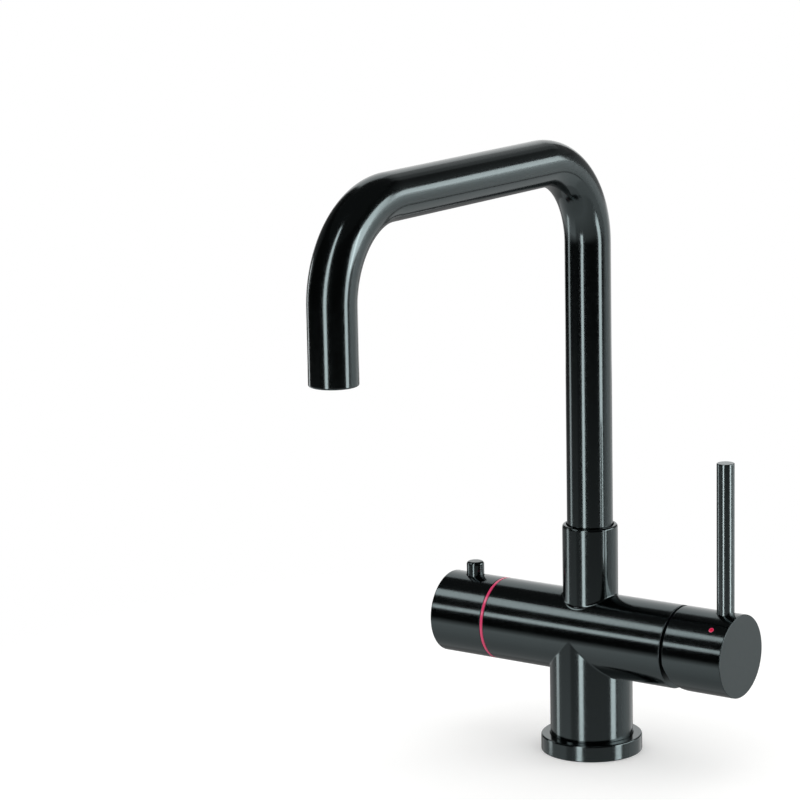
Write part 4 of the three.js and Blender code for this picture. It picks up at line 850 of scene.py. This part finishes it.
class TAP_OT_mixer_lever(bpy.types.Operator):
    """Build the lever cap, the lever, the marks and the dome behind the cap"""

    bl_idname = "tap.mixer_lever"
    bl_label = "Mixer lever"

    def execute(self, context):
        sizes = context.scene.tap_sizes
        make_piece("cap", cap_patches(sizes), "lever", "lever_cap")
        foot, top = span("lever_rod", 2)
        shoulder = BAR_TOP - 3.5 * MM
        thread = 3 * MM
        outline = rounded([
            (foot, 0), (foot, thread), (shoulder, thread), (shoulder, LEVER_R), (top, LEVER_R, 0.5 * MM),
            (top, 0),
        ])
        patches = [lathed(outline, sizes.round_sides // 2, centre=(LEVER_X, 0))]
        make_piece("lever", patches, "lever", "lever_rod", finish="gunmetal_pvd_brushed")
        turn = radians(42)
        for side, name, paint in (-1, "hot", "red_enamel"), (1, "cold", "blue_enamel"):
            patches = mark_patches(sizes, side * turn)
            make_piece(name + "_dot", patches, "lever", name + "_mark", paint + "_dot")
        make_piece("dome", dome_patches(sizes), "root", "dome_cover")
        return {"FINISHED"}


# CAD nodes that stay as they are, by the finish they get
CARRIED_OVER = {
    "stainless_steel": """spout_stop_screw manifold_bolt stem_pin cap_set_screw spindle_clip knob_screw
        button_clip boiling_tube""",
    "turned_brass": """hose_manifold hot_hose_socket cold_hose_socket boiling_hose_socket front_stud_socket
        rear_stud_socket cartridge_nut cartridge_stem boil_valve_body boil_spindle spout_bush""",
    "nitrile_rubber": """inner_tube_oring manifold_gasket cartridge_seal boil_valve_seal spout_oring_upper
        spout_oring_lower aerator_seal""",
    "lapped_alumina": "cartridge_fixed_disc cartridge_moving_disc boil_fixed_disc boil_turning_disc",
    "acetal_white": "cartridge_base cartridge_rotor stop_collar spout_bearing_ring",
    "nylon_grey": "disc_carrier cartridge_housing",
    "gunmetal_pvd_plain": "cap_screw_plug",
}


class TAP_OT_inner_pieces(bpy.types.Operator):
    """Give the pieces inside the tap their finishes"""

    bl_idname = "tap.inner_pieces"
    bl_label = "Inner pieces"

    def execute(self, context):
        for material, names in CARRIED_OVER.items():
            for name in names.split():
                slots = frame["nodes"][name].data.materials
                slots.clear()
                slots.append(finish_named(material))
        return {"FINISHED"}


# ---- Studio ----

PICTURE = 800  # width and height of the picture in pixels
SENSOR = 36  # width of the camera's frame in millimetres


def place_object(name, data, right, up, back, place):
    """A lamp or camera that looks against its back axis."""
    made = new_object(name, data)
    made.matrix_world = Matrix([*np.stack([right, up, back, place], -1).tolist(), (0, 0, 0, 1)])
    return made


def add_camera(stage):
    """The photograph's camera: turned by the azimuth, tipped by the pitch, then rolled, and placed so that
    the aim point lies at its own pixel and depth."""
    azimuth, pitch, roll = stage.azimuth, stage.pitch, stage.roll
    level = along_z(0, 1, azimuth)
    back = along_z(sin(pitch), cos(pitch), azimuth - QUARTER)
    upright = np.cross(back, level)
    right = cos(roll) * level + sin(roll) * upright
    up = cos(roll) * upright - sin(roll) * level
    pixel = stage.depth * SENSOR / stage.lens / PICTURE
    across = (stage.aim_x - PICTURE / 2) * pixel
    down = (stage.aim_y - PICTURE / 2) * pixel
    place = np.array([0, 0, stage.aim_height]) - across * right + down * up + stage.depth * back
    data = bpy.data.cameras.new("camera")
    data.sensor_width = SENSOR
    data.lens = stage.lens
    data.clip_start = 0.01
    data.clip_end = 100
    bpy.context.scene.camera = place_object("camera", data, right, up, back, place)


def bearing_angle(stage, bearing):
    """World angle about Z of a bearing in degrees: 0 towards the camera, positive to the picture's right."""
    return stage.azimuth - QUARTER + np.radians(bearing)


def add_lamp(name, place, target, width, height, radiance):
    """A soft box or strip at a place, facing a target. Its power is radiance x pi x area."""
    data = bpy.data.lights.new(name, "AREA")
    data.shape = "RECTANGLE"
    data.size = width
    data.size_y = height
    data.energy = radiance * pi * width * height
    back = unit(place - np.array(target))
    right = unit(np.cross([0, 0, 1], back))
    lamp = place_object(name, data, right, np.cross(back, right), back, place)
    lamp.visible_camera = False
    return lamp


def add_stage_mesh(name, corners, material):
    """A sheet of the studio from a grid of corners."""
    sheet = new_object(name, grid_mesh(name, [corners], material)[0])
    return sheet


def floor_material(stage):
    """Matt pale paint that thins out towards the floor's edge, so that no edge shows."""
    material, tree, shader, place = new_material("matt_floor_paint")
    grit = add(tree, "TexNoise", {"Vector": place, "Scale": 700, "Detail": 2})
    pale = tuple(stage.floor)
    dull = tuple(c * 0.985 for c in pale)
    camera_ray = add(tree, "LightPath", out="Is Camera Ray")
    feed(tree, shader, {
        "Base Color": add(tree, "Mix", {0: grit, 6: pale, 7: dull}, 2, data_type="RGBA"),
        "Roughness": 0.9,
        "Specular IOR Level": 0,
        "Emission Color": (1, 1, 1),
        "Emission Strength": add(tree, "MapRange", [camera_ray, 0, 1, 0, stage.floor_glow]),
    })
    radius = add(tree, "VectorMath", [place], "Value", operation="LENGTH")
    shown = add(tree, "MapRange", [radius, 0.2, 0.42, 1, 0])
    mix = add(tree, "MixShader", [shown, add(tree, "BsdfTransparent"), shader.outputs[0]])
    feed(tree, tree.nodes["Material Output"], {"Surface": mix})
    return material


def card_material():
    """Studio cards of matt paper, lit evenly or fading: each shows the brightness kept in its corners, with
    the faint unevenness of paper."""
    material, tree, shader, place = new_material("studio_card")
    tree.nodes.remove(shader)
    paper = add(tree, "TexNoise", {"Vector": place, "Scale": 2, "Detail": 2})
    faint = add(tree, "MapRange", [paper, *USUAL, 0.96, 1.04])
    shade = add(tree, "Attribute", out="Fac", attribute_name="brightness")
    uneven = add(tree, "Math", [shade, faint], operation="MULTIPLY")
    feed(tree, tree.nodes["Material Output"], {"Surface": add(tree, "Emission", {"Strength": uneven})})
    return material


def add_card(name, stage, bearings, elevations, brightness, material):
    """A card of the surround, part of a sphere round the origin, that fades from its lower brightness to its
    upper. It is seen in the metal only, so that it takes no light from the floor:
    x = r cos(elevation) cos(bearing), y = r cos(elevation) sin(bearing), z = r sin(elevation)."""
    far, rows, columns = 6, 25, 49
    turn = bearing_angle(stage, np.linspace(*bearings, columns))
    rise = np.radians(np.linspace(*elevations, rows))[:, None]
    card = add_stage_mesh(name, along_z(far * np.sin(rise), far * np.cos(rise), turn), material)
    shade = card.data.attributes.new("brightness", "FLOAT", "POINT")
    shade.data.foreach_set("value", np.repeat(np.linspace(*brightness, rows), columns))
    card.visible_camera = False
    card.visible_diffuse = False
    card.visible_shadow = False
    return card


def white_world(stage):
    """White behind everything that the camera, gloss and glass see, and a little dimmer as fill light."""
    world = bpy.data.worlds.new("studio")
    bpy.context.scene.world = world
    world.use_nodes = True
    tree = world.node_tree
    rays = add(tree, "LightPath").node.outputs
    seen = add(tree, "Math", [rays["Is Camera Ray"], rays["Is Glossy Ray"]], operation="MAXIMUM")
    seen = add(tree, "Math", [seen, rays["Is Transmission Ray"]], operation="MAXIMUM")
    feed(tree, tree.nodes["Background"], {
        "Color": (1, 1, 1),
        "Strength": add(tree, "MapRange", [seen, 0, 1, stage.fill_light, 1]),
    })


BOX_AIM = 0.15  # height that the soft boxes face, in metres

# Lamps: name, bearing, distance along the floor, height, width, length, and share of the strip or soft light
LAMPS = (
    ("strip_left_front", -31.4, 2.1, 1.87, 0.44, 5.2, 1),
    ("strip_right", 60, 2.13, 0.21, 0.56, 1.88, 0.95),
    ("strip_left_near", -108.5, 0.5, 0.1, 0.1, 0.5, 0.45),
    ("box_left_high", -86.6, 1.11, 1.2, 0.62, 0.33, 1.1),
    ("box_left_low", -68, 1.52, 0.52, 0.36, 0.23, 1.4),
    ("box_right_back", 106.4, 1.57, 0.65, 0.5, 0.4, 1.5),
)

# Cards of the surround: name, bearings, elevations, and brightness at the lower and upper edge
CARDS = (
    ("dark_front_low", (-155, 82), (-9, 3), (0.01, 0.01)),
    ("dark_front", (-115, 66), (3, 48), (0.01, 0.02)),
    ("dark_left", (-162, -115), (32, 48), (0.02, 0.02)),
    ("dark_right_high", (66, 82), (26, 48), (0.01, 0.02)),
    ("dark_right", (82, 108), (26, 48), (0.05, 0.02)),
    ("dark_back_right", (108, 136), (30, 48), (0.11, 0)),
    ("dim_back_right", (136, 150), (30, 48), (0.3, 0.16)),
    ("dim_back", (150, 168), (30, 48), (0.45, 0.3)),
    ("dark_top", (-180, 180), (48, 90), (0.04, 0.04)),
    ("glow_left", (-162, -115), (3, 32), (0.12, 0.05)),
    ("wall_right_near", (66, 91), (5, 26), (5, 4.6)),
    ("wall_right", (91, 99), (4, 26), (2.8, 4.2)),
    ("wall_right_far", (99, 108), (1, 22), (1.7, 0.1)),
    ("wall_right_dim", (99, 108), (22, 26), (0.1, 0.1)),
    ("wall_right_low", (82, 99), (-9, 4), (0.44, 0.22)),
    ("wall_right_low_far", (99, 108), (-9, 1), (0.44, 0.1)),
    ("wall_back_right", (108, 159), (-1, 20), (0.36, 0.09)),
    ("wall_back_right_high", (108, 159), (20, 30), (0.16, 0.13)),
    ("wall_left_high", (-98, -70), (25, 40), (1.1, 2)),
    ("floor_left_far", (-155, -63), (-20, -9), (0.6, 0.03)),
    ("floor_left", (-155, -63), (-55, -20), (0.45, 0.75)),
    ("floor_front_far", (-63, 75), (-17, -9), (0.26, 0.01)),
    ("floor_front", (-63, 75), (-55, -17), (0.5, 0.26)),
    ("floor_right", (75, 100), (-55, -9), (0.55, 0.55)),
    ("floor_back_right", (100, 155), (-55, -23), (0.65, 0.8)),
    ("floor_line", (100, 155), (-23, -20.5), (0.1, 0.1)),
    ("floor_back_right_far", (100, 155), (-20.5, -9), (0.75, 0.85)),
    ("floor_back", (155, 205), (-55, -9), (0.25, 0.25)),
    ("floor_under", (-180, 180), (-90, -55), (0.4, 0.45)),
)


class TAP_OT_stage(bpy.types.Operator):
    """Set the floor, the lamps, the cards and the camera"""

    bl_idname = "tap.stage"
    bl_label = "Stage"

    def execute(self, context):
        stage = context.scene.tap_stage
        context.scene.view_settings.view_transform = "Standard"
        add_camera(stage)
        white_world(stage)
        below_foot = -0.1 * MM
        reach = np.linspace(0, 0.45, 10)[:, None]
        turn = np.linspace(0, FULL, 65)
        floor = add_stage_mesh("floor", along_z(below_foot, reach, turn), floor_material(stage))
        floor.visible_glossy = False
        # The boxes low on the left stand close by, so they are screened off from all but the crossbar
        crossbar = bpy.data.collections.new("lit_from_the_left")
        for name in ("casting", "red_ring", "knob", "button", "cap", "hot_dot"):
            crossbar.objects.link(bpy.data.objects[name])
        for name, bearing, distance, height, width, length, share in LAMPS:
            is_box = name.startswith("box")
            place = along_z(height, distance, bearing_angle(stage, bearing))
            aim = (0, 0, BOX_AIM if is_box else height)
            radiance = share * (stage.soft_light if is_box else stage.strip_light)
            lamp = add_lamp(name, place, aim, width, length, radiance)
            lamp.visible_diffuse = is_box
            if name.startswith("box_left"):
                lamp.light_linking.receiver_collection = crossbar
        paper = card_material()
        for name, bearings, elevations, brightness in CARDS:
            card = add_card(name, stage, bearings, elevations, brightness, paper)
            if name == "wall_left_high":
                card.light_linking.receiver_collection = crossbar
        return {"FINISHED"}


class TAP_PT_panel(bpy.types.Panel):
    """Lists the tap's settings and operators"""

    bl_idname = "TAP_PT_panel"
    bl_label = "Boiling water tap"
    bl_space_type = "VIEW_3D"
    bl_region_type = "UI"
    bl_category = "Tap"

    def draw(self, context):
        for operator in OPERATORS:
            self.layout.operator(operator.bl_idname)
        for settings in (context.scene.tap_sizes, context.scene.tap_finish, context.scene.tap_stage):
            box = self.layout.box()
            for name in settings.__annotations__:
                box.prop(settings, name)


OPERATORS = (
    TAP_OT_casting, TAP_OT_foot, TAP_OT_spout, TAP_OT_boiling_knob, TAP_OT_mixer_lever, TAP_OT_inner_pieces,
    TAP_OT_stage,
)
GROUPS = {"tap_sizes": TapSizes, "tap_finish": TapFinish, "tap_stage": TapStage}
CLASSES = (*GROUPS.values(), *OPERATORS, TAP_PT_panel)


def register():
    for each in CLASSES:
        bpy.utils.register_class(each)
    for name, group in GROUPS.items():
        setattr(bpy.types.Scene, name, PointerProperty(type=group))


def unregister():
    for name in GROUPS:
        delattr(bpy.types.Scene, name)
    for each in reversed(CLASSES):
        bpy.utils.unregister_class(each)


def main():
    """Builds everything in order."""
    register()
    bpy.ops.tap.casting()
    bpy.ops.tap.foot()
    bpy.ops.tap.spout()
    bpy.ops.tap.boiling_knob()
    bpy.ops.tap.mixer_lever()
    bpy.ops.tap.inner_pieces()
    bpy.ops.tap.stage()


if __name__ == "__main__":
    main()
